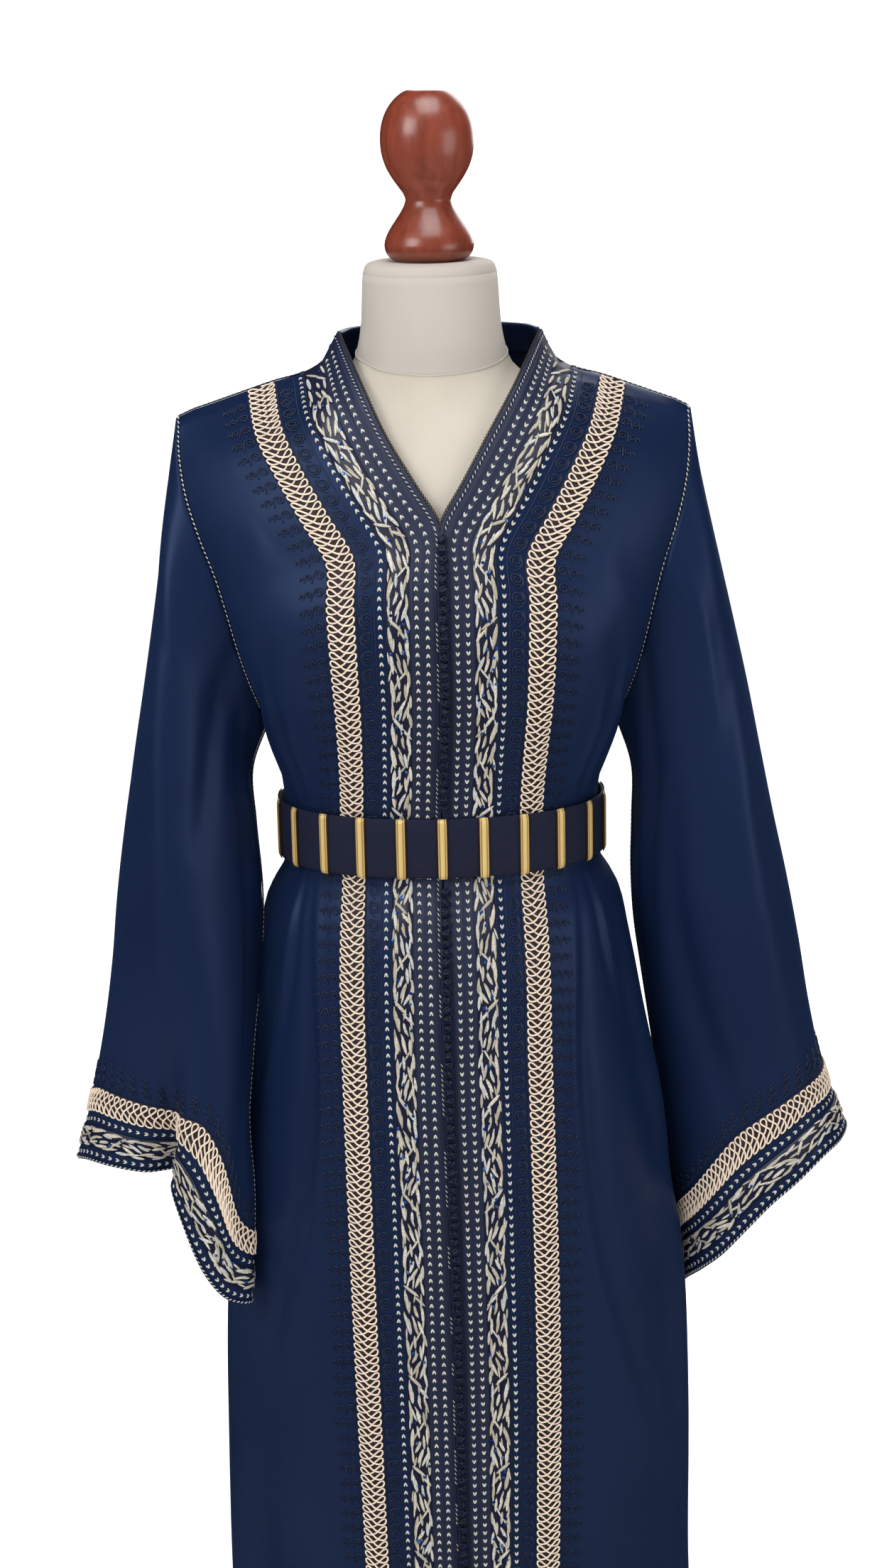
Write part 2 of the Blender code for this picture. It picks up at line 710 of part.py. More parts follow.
def make_belt(grids):
    loop, outs = waist_loop(grids)
    levels = (BELT_LOW, (BELT_LOW + BELT_HIGH) / 2, BELT_HIGH)
    base = [[Vector((p.x, p.y, z - p.y * BELT_RISE)) for p in loop] for z in levels]
    ways = [outs] * len(levels)
    over, under = shifted(base, ways, BELT_LIFT + BELT_THICK), shifted(base, ways, BELT_LIFT)
    wall("belt", over, under, "belt_cloth", closed=True)
    ring = [p + n * (BELT_LIFT + BELT_THICK) for p, n in zip(loop, outs)]
    ring.append(ring[0])
    total = line_length(ring)
    for k in range(BAR_COUNT):
        middle = total * (k / BAR_COUNT)
        ends = along(ring, sorted(((middle - BAR_WIDTH / 2) % total, (middle + BAR_WIDTH / 2) % total)))
        side_way = (ends[1] - ends[0]).normalized()
        centre = (ends[0] + ends[1]) / 2
        out = Vector((side_way.y, -side_way.x, 0))
        if out.dot(Vector((centre.x, centre.y, 0))) < 0:
            out = -out
        seat = centre + out * (SEAM_GAP + 0.5 + BAR_THICK / 2)
        seat.z = (BELT_HIGH + BELT_LOW) / 2 - seat.y * BELT_RISE
        bm = bmesh.new()
        made = bmesh.ops.create_cube(bm, size=1.0)["verts"]
        bmesh.ops.scale(bm, vec=(BAR_WIDTH, BAR_THICK, BELT_HIGH - BELT_LOW), verts=made)
        turn = Vector((0, -1, 0)).rotation_difference(out).to_matrix()
        bmesh.ops.rotate(bm, cent=(0, 0, 0), matrix=turn, verts=made)
        bmesh.ops.translate(bm, vec=seat, verts=made)
        place(f"belt_bar_{k + 1:02d}", bm, "gold_bar")


def front_edge(grids, z):
    """The middle between both fronts' edges at a height."""
    left, right = ([line[0] for line in grids[name][0]] for name in ("front_left", "front_right"))
    points = [(a + b) / 2 for a, b in zip(left, right)]
    for a, b in zip(points, points[1:]):
        if a.z <= z <= b.z:
            return a.lerp(b, (z - a.z) / (b.z - a.z))
    return points[-1]


def make_button_rows(grids):
    """The rows of knotted cord buttons down the closed front, which the belt lies between."""
    for name, (low, high) in zip(("button_row_lower", "button_row_upper"), BUTTON_SPANS):
        heights = [low] + [row["z_in"] for row in FRONT if low < row["z_in"] < high] + [high]
        rings = []
        for z in heights:
            spot = front_edge(grids, z)
            spot.y -= TRIM_LIFT + TRIM + SEAM_GAP + 0.35
            rings.append([spot + Vector((x, -out, 0)) for x, out in BUTTON_SECTION])
        loft(name, rings, "knot")


def loft(name, rings, finish):
    """A closed solid through rings of as many points each."""
    bm = bmesh.new()
    lines = [[bm.verts.new(p) for p in ring] for ring in rings]
    edges = [[bm.edges.new((a, b)) for a, b in zip(line, line[1:] + line[:1])] for line in lines]
    for below, above in zip(edges, edges[1:]):
        bmesh.ops.bridge_loops(bm, edges=below + above)
    for rim in (edges[0], edges[-1]):
        bmesh.ops.holes_fill(bm, edges=rim, sides=0)
    bmesh.ops.triangulate(bm, faces=bm.faces[:])
    place(name, bm, finish)


def make_torso(inner_walls):
    """The dress form's body. Where its own shape would press on the cloth it stops just short of it."""
    trees = [BVHTree.FromPolygons(*walls) for walls in inner_walls]
    grid = []
    for row in as_rows(TORSO_COLUMNS, TORSO):
        ring = []
        for k in range(TORSO_SIDES):
            phi = math.tau * k / TORSO_SIDES
            depth = row["back"] if math.cos(phi) < 0 else -row["front"]
            x = row["half"] * math.copysign(abs(math.sin(phi)) ** (2 / row["full"]), math.sin(phi))
            y = -depth * math.copysign(abs(math.cos(phi)) ** (2 / row["full"]), math.cos(phi))
            ring.append(Vector((x, y, row["z"])))
        grid.append(ring)
    settle(grid, lambda point: clear_of(point, trees))
    loft("torso", grid, "jersey")


def clear_of(point, trees):
    """The point, or the last one before the cloth on the way out to it."""
    start = Vector((0, TORSO_AXIS_Y, point.z))
    way = (point - start).normalized()
    reach = (point - start).length
    for tree in trees:
        hit, normal, _, distance = tree.ray_cast(start, way)
        if hit is not None:
            room = (TORSO_CLEAR + CLOTH) / max(0.25, abs(normal.dot(way)))
            reach = min(reach, distance - room)
    return start + way * reach


def sheet_tree(grid):
    """A grid as the vertices and faces that a ray can be cast on."""
    cols = len(grid[0])
    verts = [p for row in grid for p in row]
    faces = [
        (i * cols + j, i * cols + j + 1, (i + 1) * cols + j + 1, (i + 1) * cols + j)
        for i in range(len(grid) - 1)
        for j in range(cols - 1)
    ]
    return verts, faces


def neckline(grids):
    """A sheet across the open neck between both front edges, which the form stays behind."""
    rows = [i for i, row in enumerate(FRONT) if row["z_in"] > 1300]
    lines = []
    for i in rows:
        a, b = grids["front_right"][0][i][0], grids["front_left"][0][i][0]
        bulge = 85 * ((a.z - 1305) / 147) ** 4
        line = []
        for k in range(7):
            across = k / 3 - 1
            line.append(a.lerp(b, k / 6) - Vector((0, bulge * (1 - across * across), 0)))
        lines.append(line)
    return lines


def build():
    for old in list(bpy.data.objects):
        bpy.data.objects.remove(old, do_unlink=True)
    grids = body_grids()
    for name, (points, ways) in grids.items():
        wall(name, points, shifted(points, ways, -CLOTH), "navy_satin")
    for name in ("left", "right"):
        grid = grids[f"front_{name}"]
        strip(f"placket_{name}", grid, 0, 1, "navy_band")
        strip(f"leaf_band_{name}", grid, 1, 2, "leaf_band")
        strip(f"braid_{name}", grid, 3, 4, "gold_braid")
    make_collar(grids)
    for side, name in ((1, "left"), (-1, "right")):
        make_sleeve(grids, side, name)
    make_belt(grids)
    make_button_rows(grids)
    make_torso([sheet_tree(grids[name][0]) for name in grids] + [sheet_tree(neckline(grids))])
    turned("neck_cap", NECK_PROFILE, 28, "jersey")
    turned("finial", FINIAL_PROFILE, 24, "turned_wood")
    turned("pole", ((POLE_RADIUS, 22.3), (POLE_RADIUS, 799.7)), 16, "steel")
    turned("base", BASE_PROFILE, 40, "turned_wood")


build()
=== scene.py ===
"""The looks of a floor-length kaftan with its belt, worn by a limbless dress form on a round stand.

Every table is in millimetres, with X to the wearer's left (the viewer's right), Y to the back and Z up
from the floor. Distances on the fronts are from the front edge, and on the sleeves from the cuff's edge.
"""

import math

import bmesh
import bpy
import numpy as np
from bpy.props import FloatProperty, PointerProperty, StringProperty
from mathutils import Matrix, Vector
from mathutils.bvhtree import BVHTree


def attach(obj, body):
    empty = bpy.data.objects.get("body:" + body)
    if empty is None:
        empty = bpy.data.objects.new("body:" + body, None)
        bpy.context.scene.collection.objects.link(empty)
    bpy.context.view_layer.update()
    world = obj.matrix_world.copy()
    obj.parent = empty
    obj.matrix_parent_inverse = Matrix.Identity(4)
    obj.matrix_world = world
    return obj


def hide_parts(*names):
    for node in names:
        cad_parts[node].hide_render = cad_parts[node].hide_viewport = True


bl_info = {
    "name": "Kaftan on a dress form",
    "version": (1, 0, 0),
    "blender": (4, 5, 0),
    "location": "3D View > Sidebar > Kaftan",
    "description": "Builds the cloth, sewn bands, cords, buttons and belt of a kaftan and its dress form",
    "category": "Object",
}

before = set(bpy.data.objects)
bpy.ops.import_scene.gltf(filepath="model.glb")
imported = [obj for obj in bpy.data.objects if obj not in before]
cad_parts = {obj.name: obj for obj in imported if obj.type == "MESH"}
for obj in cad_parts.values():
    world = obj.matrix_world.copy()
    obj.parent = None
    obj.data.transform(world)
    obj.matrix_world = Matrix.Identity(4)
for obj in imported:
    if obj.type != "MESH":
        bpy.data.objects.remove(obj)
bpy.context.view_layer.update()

MM = 0.001

# Driving sizes
CLOTH = 1.2            # thickness of the crepe-satin cloth, with its facing
SEAM_GAP = 0.3         # pieces are this far apart at a seam
TRIM = 1.8             # thickness of a sewn-on band
TRIM_LIFT = 0.35       # a band lies this far off the cloth
BAND_EDGES = (0.0, 27.0, 46.0, 70.5, 93.5, 118.0)   # from the front edge: placket, leaf band, gap, braid
CUFF_EDGES = (0.0, 13.0, 33.0, 45.0, 68.0)          # from the cuff's edge: rim, leaf band, gap, braid
OUTER_CELLS = 5        # cells of a front between its last band and its side seam
NECK_CELLS = 3         # cells of the back from centre back to the shoulder's neck end
BELT_LOW, BELT_HIGH = 992.0, 1045.0
BELT_MIDDLE = 1018     # the fronts' row under the belt's middle
BELT_THICK = 3.0
BELT_LIFT = 2.6
BELT_RISE = 0.045      # the belt rides up towards the front by this share of its depth
BAR_COUNT = 22
SLEEVE_CELLS = 10      # cells of a sleeve from its armhole to its braid
SKIRT_CLEAR = 2.0      # a sleeve hangs this far off the skirt

# Half of the body's cloth, row by row. z_in, x_in and y_in are the front edge or centre front, z_out, x_out
# and y_front the side seam or the front of the armhole, arc how far round the quarter ellipse the row goes.
# spread widens the bands.
BODY_COLUMNS = ("z_in", "z_out", "x_in", "x_out", "y_in", "y_front", "arc", "full", "spread")
FRONT_ROWS = (
    (25, 25, 0, 216, -168, 0, 90, 2.1, 0.93),
    (275, 275, 0, 214, -165, 0, 90, 2.1, 0.93),
    (400, 400, 0, 213, -162, 0, 90, 2.1, 0.96),
    (525, 525, 0, 209, -158, 0, 90, 2.1, 0.99),
    (650, 650, 0, 202, -152, 0, 90, 2.1, 1.0),
    (760, 760, 0, 192, -146, 0, 90, 2.1, 1.0),
    (850, 850, 0, 178, -139, 0, 90, 2.1, 1.0),
    (915, 915, 0, 167, -131, 0, 90, 2.1, 1.0),
    (960, 960, 0, 156, -118, 0, 90, 2.1, 0.98),
    (988, 988, 0, 140, -103.5, 0, 90, 2.1, 0.965),
    (1018, 1018, 0, 140, -103.5, 0, 90, 2.1, 0.965),
    (1049, 1049, 0, 140, -103.5, 0, 90, 2.1, 0.965),
    (1082, 1080, 0, 145, -110, 0, 90, 2.2, 0.965),
    (1118, 1112, 0, 154, -118, 0, 90, 2.3, 0.98),
    (1152, 1137, 0, 161, -124, -24, 80, 2.4, 1.0),
    (1190, 1164, 0, 169, -129, -38, 72, 2.5, 1.03),
    (1228, 1192, 0, 176, -131, -46, 66, 2.5, 1.06),
    (1267, 1222, 0, 183, -126, -49, 62, 2.4, 1.09),
    (1305, 1254, 0, 192, -113, -47, 58, 2.2, 1.1),
    (1338, 1287, 20, 204, -100, -40, 55, 2.1, 1.1),
    (1374, 1320, 42, 214, -82, -28, 50, 2.0, 1.09),
    (1413, 1352, 63.5, 219, -56, -12, 45, 2.0, 1.07),
    (1452, 1383, 86, 220, 10, 6, 40, 2.0, 1.03),
)

# The shoulder seam's x, y and z, from the top of the collar's front end to the tip of the shoulder.
SHOULDER = (
    (86, 10, 1452),
    (91, 11, 1438),
    (101, 12, 1426),
    (116, 12, 1418),
    (145, 11, 1410),
    (180, 9, 1398),
    (207, 7, 1389),
    (220, 6, 1383),
)

# Each height, and how far the cloth hangs to the wearer's left there. It fades towards the armholes.
LEAN = (
    (25, 2),
    (300, 4.5),
    (560, 4),
    (850, 0),
    (1050, 0),
    (1150, 4),
    (1300, 4),
    (1374, 3),
    (1413, 5.5),
    (1452, 7.5),
)

# The same rows round the back: the centre back's height and depth, and the back of the armhole.
BACK_COLUMNS = ("z_in", "y_in", "y_back", "arc", "full")
BACK_ROWS = (
    (25, 168, 0, 90, 2.1),
    (275, 164, 0, 90, 2.1),
    (400, 161, 0, 90, 2.1),
    (525, 157, 0, 90, 2.1),
    (650, 152, 0, 90, 2.1),
    (760, 146, 0, 90, 2.1),
    (850, 139, 0, 90, 2.1),
    (915, 130, 0, 90, 2.1),
    (960, 115, 0, 90, 2.1),
    (988, 97.5, 0, 90, 2.1),
    (1018, 97.5, 0, 90, 2.1),
    (1049, 97.5, 0, 90, 2.1),
    (1082, 101, 0, 90, 2.2),
    (1118, 104, 0, 90, 2.3),
    (1152, 107, 28, 80, 2.4),
    (1190, 110, 44, 72, 2.4),
    (1226, 113, 53, 66, 2.4),
    (1260, 114, 57, 62, 2.3),
    (1294, 114, 57, 58, 2.2),
    (1328, 111, 52, 55, 2.1),
    (1362, 104, 42, 50, 2.0),
    (1396, 92, 26, 45, 2.0),
    (1427, 80, 6, 40, 2.0),
)
ARMPIT = 13            # the row of both tables where the armhole starts

# Soft folds of the skirt. side is 1 on the wearer's left, around is 0 at centre front, 1 at the side seam
# and 2 at centre back, spread is its half width in the same measure, and depth is outward.
FOLD_COLUMNS = ("side", "around", "spread", "depth", "z_top", "z_full")
FOLDS = (
    (1, 0.70, 0.07, -5, 980, 600),
    (1, 0.86, 0.07, 7, 985, 700),
    (1, 1.02, 0.06, -8, 960, 500),
    (1, 1.20, 0.08, 9, 980, 500),
    (1, 1.40, 0.07, -9, 980, 450),
    (1, 1.60, 0.08, 8, 980, 500),
    (1, 1.80, 0.07, -9, 980, 450),
    (-1, 0.66, 0.07, -6, 980, 550),
    (-1, 0.84, 0.07, 8, 985, 650),
    (-1, 1.00, 0.06, -7, 960, 500),
    (-1, 1.18, 0.08, 9, 980, 500),
    (-1, 1.38, 0.07, -9, 980, 450),
    (-1, 1.60, 0.08, 9, 980, 500),
    (-1, 1.82, 0.07, -8, 980, 450),
)

# Each sleeve below its armhole, ring by ring: the heights, reaches and depths of its outer edge and its
# underarm seam, its half depths to the front and back, how far both swell out from the line between the
# edges, and how far the ring takes the cuff's own outline.
SLEEVE_COLUMNS = (
    "z_out", "z_in", "x_out", "x_in", "y_out", "y_in", "half_front", "half_back", "swell", "shape",
)
SLEEVES = {
    "right": (
        (1345, 1092, 228, 167, 4, 0, 58, 62, 12, 0),
        (1295, 1066, 236, 168, 2, -3, 64, 66, 18, 0),
        (1240, 1034, 243, 167, 0, -8, 68, 68, 20, 0),
        (1180, 998, 254, 166, -2, -14, 71, 69, 18, 0),
        (1115, 958, 266, 166, -4, -22, 74, 70, 14, 0),
        (1045, 914, 279, 167, -6, -32, 77, 71, 9, 0.02),
        (975, 866, 291, 168, -7, -44, 79, 72, 5, 0.08),
        (905, 816, 299, 169, -8, -56, 80, 72, 2, 0.18),
        (842, 764, 309, 170, -10, -68, 80, 72, 0, 0.33),
        (788, 712, 320, 172, -13, -80, 80, 72, 0, 0.52),
        (742, 658, 331, 176, -16, -90, 80, 72, 0, 0.76),
        (706, 598, 341, 181, -20, -98, 80, 72, 0, 1),
    ),
    "left": (
        (1345, 1092, 226, 165, 4, 1, 58, 62, 12, 0),
        (1295, 1066, 238, 171, 4, 3, 62, 66, 18, 0),
        (1240, 1034, 250, 172, 4, 6, 66, 68, 20, 0),
        (1180, 998, 264, 171, 4, 10, 70, 69, 18, 0),
        (1115, 958, 278, 171, 3, 14, 74, 70, 14, 0),
        (1045, 914, 291, 174, 2, 18, 78, 71, 9, 0),
        (975, 864, 306, 181, 2, 21, 80, 72, 5, 0.03),
        (910, 808, 317, 189, 2, 24, 80, 73, 2, 0.1),
        (852, 750, 324, 197, 2, 26, 80, 75, 0, 0.2),
        (806, 690, 328, 205, 2, 26, 80, 78, 0, 0.34),
        (762, 625, 334, 211, 1, 22, 80, 82, 0, 0.6),
        (716, 556, 342, 216, 0, 14, 80, 86, 0, 1),
    ),
}

# Each cuff's edge as x, y and z, from its outer corner round by the front to the underarm seam and back.
CUFFS = {
    "right": (
        (342, -16, 707),
        (328, -50, 718),
        (303, -70, 719),
        (272, -77, 716),
        (243, -62, 712),
        (249, -90, 706),
        (237, -110, 672),
        (222, -118, 636),
        (203, -114, 608),
        (182, -96, 595),
        (188, -62, 598),
        (208, -24, 612),
        (216, 14, 634),
        (228, 45, 658),
        (252, 64, 682),
        (281, 66, 697),
        (309, 50, 703),
        (331, 20, 705),
    ),
    "left": (
        (368, 0, 716),
        (359, -32, 714),
        (340, -56, 708),
        (316, -66, 688),
        (292, -68, 667),
        (270, -66, 642),
        (249, -60, 616),
        (232, -45, 595),
        (221, -18, 574),
        (218, 14, 556),
        (222, 44, 556),
        (233, 70, 568),
        (252, 90, 592),
        (277, 100, 624),
        (304, 100, 656),
        (330, 88, 684),
        (350, 66, 704),
        (363, 34, 714),
    ),
}

# The dress form's body, ring by ring from the hips to the neck seam.
TORSO_COLUMNS = ("z", "half", "front", "back", "full")
TORSO = (
    (800, 148, -106, 108, 2.1),
    (860, 156, -110, 112, 2.1),
    (920, 150, -106, 108, 2.1),
    (975, 132, -94, 92, 2.1),
    (1020, 126, -89, 84, 2.1),
    (1070, 130, -94, 86, 2.1),
    (1130, 142, -108, 91, 2.2),
    (1190, 150, -118, 98, 2.3),
    (1240, 152, -118, 103, 2.3),
    (1290, 156, -108, 104, 2.2),
    (1330, 164, -96, 99, 2.0),
    (1358, 176, -84, 90, 1.8),
    (1378, 188, -76, 80, 1.6),
    (1394, 150, -70, 72, 1.5),
    (1406, 104, -67, 67, 1.6),
    (1417, 79, -65, 64, 1.8),
    (1428, 68, -64.5, 62, 1.9),
    (1437, 65, -65, 61, 2.0),
)
TORSO_SIDES = 28
TORSO_CLEAR = 0.4      # the form's shoulders carry the cloth at this distance


def as_rows(columns, table):
    """Gives each row of a table as a dict with its columns' names."""
    return [dict(zip(columns, row)) for row in table]


FRONT = as_rows(BODY_COLUMNS, FRONT_ROWS)
BACK = as_rows(BACK_COLUMNS, BACK_ROWS)


def smooth(t):
    t = min(1.0, max(0.0, t))
    return t * t * (3 - 2 * t)


def fold_depth(side, around, z):
    """How far the skirt's folds push the cloth out, at a share of the way round and a height."""
    total = 0.0
    for fold in as_rows(FOLD_COLUMNS, FOLDS):
        if fold["side"] != side:
            continue
        grown = smooth((fold["z_top"] - z) / (fold["z_top"] - fold["z_full"]))
        total += fold["depth"] * grown * math.exp(-(((around - fold["around"]) / fold["spread"]) ** 2))
    return total


def quarter(share, arc, full, inner, outer):
    """A point of a quarter ellipse from inner to outer, each (x, y), at a share of its arc."""
    phi = math.radians(arc) * share
    end = math.radians(arc)
    across = (math.sin(phi) / math.sin(end)) ** (2 / full)
    depth = ((math.cos(phi) - math.cos(end)) / (1 - math.cos(end))) ** (2 / full)
    return (
        inner[0] + (outer[0] - inner[0]) * across,
        outer[1] + (inner[1] - outer[1]) * depth,
        across,
    )


def along(points, distances):
    """Points at these distances along a line of points."""
    found, walked, k = [], 0.0, 0
    for distance in distances:
        while k < len(points) - 2 and walked + (points[k + 1] - points[k]).length < distance:
            walked += (points[k + 1] - points[k]).length
            k += 1
        step = (points[k + 1] - points[k]).length
        found.append(points[k].lerp(points[k + 1], min(1.0, (distance - walked) / step)))
    return found


def line_length(points):
    return sum((b - a).length for a, b in zip(points, points[1:]))


def between(table, z):
    """A value of a table of (z, value) rows at a height."""
    for (low, first), (high, second) in zip(table, table[1:]):
        if z <= high:
            return first + (second - first) * max(0.0, (z - low) / (high - low))
    return table[-1][1]


def front_line(row, side, steps=60):
    """A front's row from its front edge to its outer edge, as close points."""
    points = []
    for k in range(steps + 1):
        x, y, across = quarter(
            k / steps, row["arc"], row["full"], (row["x_in"], row["y_in"]), (row["x_out"], row["y_front"])
        )
        z = row["z_in"] + (row["z_out"] - row["z_in"]) * across ** 0.7
        bulge = fold_depth(side, k / steps, z) if row["arc"] == 90 else 0.0
        away = Vector((x, y, 0)).normalized()
        points.append(Vector((x, y, z)) + away * bulge)
    return points


def front_row(row, side):
    """A front's row at its bands' edges and then evenly to its outer edge."""
    points = [Vector(p) for p in SHOULDER] if row is FRONT[-1] else front_line(row, side)
    edges = [d * row["spread"] for d in BAND_EDGES]
    rest = line_length(points) - edges[-1]
    return along(points, edges + [edges[-1] + rest * k / OUTER_CELLS for k in range(1, OUTER_CELLS + 1)])


def back_row(index, side):
    """Half a row of the back from centre back to its outer edge."""
    row, front = BACK[index], FRONT[index]
    cells = NECK_CELLS + len(BAND_EDGES) - 2 + OUTER_CELLS
    if row is BACK[-1]:
        seam = front_row(FRONT[-1], side)[1:]
        neck = []
        for k in range(NECK_CELLS):
            phi = math.radians(90 * k / NECK_CELLS)
            y = seam[0].y + (row["y_in"] - seam[0].y) * math.cos(phi)
            neck.append(Vector((seam[0].x * math.sin(phi), y, seam[0].z)))
        return neck + seam
    top = back_row(len(BACK) - 1, side)
    turn = smooth((index - ARMPIT) / (len(BACK) - 1 - ARMPIT))
    points = []
    for k in range(cells + 1):
        arc = math.radians(row["arc"])
        under_seam = math.asin(min(1.0, (top[k].x / top[-1].x) ** (row["full"] / 2)) * math.sin(arc)) / arc
        share = k / cells + (under_seam - k / cells) * turn
        x, y, across = quarter(
            share, row["arc"], row["full"], (0, row["y_in"]), (front["x_out"], row["y_back"])
        )
        z = row["z_in"] + (front["z_out"] - row["z_in"]) * across ** 1.3
        bulge = fold_depth(side, 2 - share, z) if row["arc"] == 90 else 0.0
        points.append(Vector((x, y, z)) + Vector((x, y, 0)).normalized() * bulge)
    return points


def lean(point):
    """Moves a point sideways as the worn cloth hangs."""
    fade = 1 - min(1.0, abs(point.x) / 225) ** 4 if point.z > 1050 else 1.0
    return point + Vector((between(LEAN, point.z) * fade, 0, 0))


def mirrored(points, side):
    return [Vector((p.x * side, p.y, p.z)) for p in points]


def normals(grid, closed=False):
    """Outward normals of a grid whose columns run to the left of its rows' rise, seen from outside."""
    rows, cols = len(grid), len(grid[0])
    found = []
    for i in range(rows):
        line = []
        for j in range(cols):
            before, after = (j - 1, j + 1) if closed else (max(j - 1, 0), min(j + 1, cols - 1))
            here = grid[i][j]
            up = (grid[min(i + 1, rows - 1)][j] - grid[max(i - 1, 0)][j]).normalized()
            one = (here - grid[i][before % cols]).cross(up).normalized()
            two = (grid[i][after % cols] - here).cross(up).normalized()
            way = (one + two).normalized()
            line.append(way / max(0.5, way.dot(one or two)))
        found.append(line)
    return found


def body_grids():
    """The outer grids of both fronts and the back, with their outward directions."""
    grids = {}
    for side, name in ((1, "front_left"), (-1, "front_right")):
        half = [front_row(row, side) for row in FRONT]
        for i, line in enumerate(half):
            if FRONT[i]["x_in"] == 0:
                line[0].x += SEAM_GAP / 2
            if i <= ARMPIT:
                line[-1].y -= SEAM_GAP / 2
        for point in half[-1]:
            point.y -= SEAM_GAP / 2
        ways = normals(half)
        for i, line in enumerate(ways):
            if FRONT[i]["x_in"] == 0:
                line[0] = Vector((0, line[0].y, line[0].z)).normalized()
            if i <= ARMPIT:
                line[-1] = Vector((line[-1].x, 0, line[-1].z)).normalized()
        ways[-1] = [Vector((n.x, 0, n.z)).normalized() for n in ways[-1]]
        grids[name] = (
            [[lean(p) for p in mirrored(line, side)] for line in half],
            [mirrored(line, side) for line in ways],
        )
    lines = []
    for index in range(len(BACK)):
        left, right = back_row(index, 1), back_row(index, -1)
        line = list(reversed(left)) + mirrored(right[1:], -1)
        for point in line:
            if index == len(BACK) - 1:
                point.y += SEAM_GAP / 2
        if index <= ARMPIT:
            line[0].y += SEAM_GAP / 2
            line[-1].y += SEAM_GAP / 2
        lines.append(line)
    ways = normals(lines)
    neck = len(lines[0]) // 2
    for i, line in enumerate(ways):
        if i <= ARMPIT:
            for j in (0, -1):
                line[j] = Vector((line[j].x, 0, line[j].z)).normalized()
    for j, way in enumerate(ways[-1]):
        if abs(j - neck) >= NECK_CELLS:
            ways[-1][j] = Vector((way.x, 0, way.z)).normalized()
    grids["back"] = ([[lean(p) for p in line] for line in lines], ways)
    return grids


def armhole(grids, side):
    """The seam round an armhole, from the shoulder tip down the front to the armpit and up the back."""
    front = grids["front_left" if side > 0 else "front_right"][0]
    back = grids["back"][0]
    column = 0 if side > 0 else -1
    down = [front[i][-1] for i in range(len(front) - 1, ARMPIT, -1)]
    up = [back[i][column] for i in range(ARMPIT, len(back) - 1)]
    top = (front[-1][-1] + back[-1][column]) / 2
    low = (front[ARMPIT][-1] + back[ARMPIT][column]) / 2
    return [top] + down[1:] + [low] + up[1:]


def sleeve_rings(grids, side, name):
    """A sleeve's rings from its armhole to its cuff, each from its outer edge round by the front."""
    seam = armhole(grids, side)
    count = len(seam)
    first = []
    for j, point in enumerate(seam):
        top = max(0.0, math.cos(math.tau * j / count)) ** 2
        first.append(point + Vector((side * (SEAM_GAP + 0.25 + CLOTH * 1.1 * top), 0, -0.2 * top)))
    rings = [first] + [sleeve_oval(row, count, side) for row in as_rows(SLEEVE_COLUMNS, SLEEVES[name])]
    plain = list(rings[-1])
    for ring, row in zip(rings[1:], as_rows(SLEEVE_COLUMNS, SLEEVES[name])):
        for j, (x, y, z) in enumerate(CUFFS[name]):
            ring[j] = ring[j] + (Vector((side * x, y, z)) - plain[j]) * row["shape"]
    return from_cuff(rings, grids)


def sleeve_oval(row, count, side):
    ring = []
    for j in range(count):
        psi = math.tau * j / count
        share = (1 - math.cos(psi)) / 2
        half = row["half_front"] if math.sin(psi) > 0 else row["half_back"]
        x = row["x_out"] + (row["x_in"] - row["x_out"]) * share + row["swell"] * math.sin(psi) ** 2
        y = row["y_out"] + (row["y_in"] - row["y_out"]) * share - half * math.sin(psi)
        z = row["z_out"] + (row["z_in"] - row["z_out"]) * share
        ring.append(Vector((side * x, y, z)))
    return ring


def from_cuff(rings, grids):
    """The sleeve's rings anew, the lowest at its bands' edges, and none of them inside the skirt."""
    trees = [BVHTree.FromPolygons(*sheet_tree(grids[name][0])) for name in grids]
    columns = []
    cuff = rings[-1]
    for j, column in enumerate(zip(*reversed(rings))):
        rim = (cuff[(j + 1) % len(cuff)] - cuff[j - 1]).normalized()
        slant = max(0.5, rim.cross((column[1] - column[0]).normalized()).length)
        edges = [d / slant for d in CUFF_EDGES]
        rest = line_length(column) - edges[-1]
        edges += [edges[-1] + rest * k / SLEEVE_CELLS for k in range(1, SLEEVE_CELLS + 1)]
        columns.append(along(column, edges))
    made = [list(ring) for ring in zip(*columns)][::-1]
    for i, ring in enumerate(made[3:], 3):
        clear = SKIRT_CLEAR if i < len(made) - 5 else SKIRT_CLEAR + TRIM_LIFT + TRIM
        settle([ring], lambda point: off_skirt(point, trees, clear))
    return made


def settle(rings, place_for):
    """Moves rings' points until they and the points halfway between neighbours are where place_for allows."""
    count = len(rings[0])
    for _ in range(4):
        moves = [[place_for(p) - p for p in ring] for ring in rings]
        for i, ring in enumerate(rings):
            for j in range(count):
                ends = [(i, (j + 1) % count)]
                if i + 1 < len(rings):
                    ends += [(i + 1, j), (i + 1, (j + 1) % count)]
                for a, b in ends:
                    halfway = (ring[j] + rings[a][b]) / 2
                    move = place_for(halfway) - halfway
                    moves[i][j] = max(moves[i][j], move, key=lambda v: v.length)
                    moves[a][b] = max(moves[a][b], move, key=lambda v: v.length)
        for ring, shifts in zip(rings, moves):
            ring[:] = [p + move for p, move in zip(ring, shifts)]


def off_skirt(point, trees, clear):
    """The point, or the first one clear of the skirt on the way out to it."""
    start = Vector((0, 0, point.z))
    way = (point - start).normalized()
    reach = (point - start).length
    for tree in trees:
        hit = tree.ray_cast(start, way)[3]
        if hit is not None:
            reach = max(reach, hit + clear)
    return start + way * reach


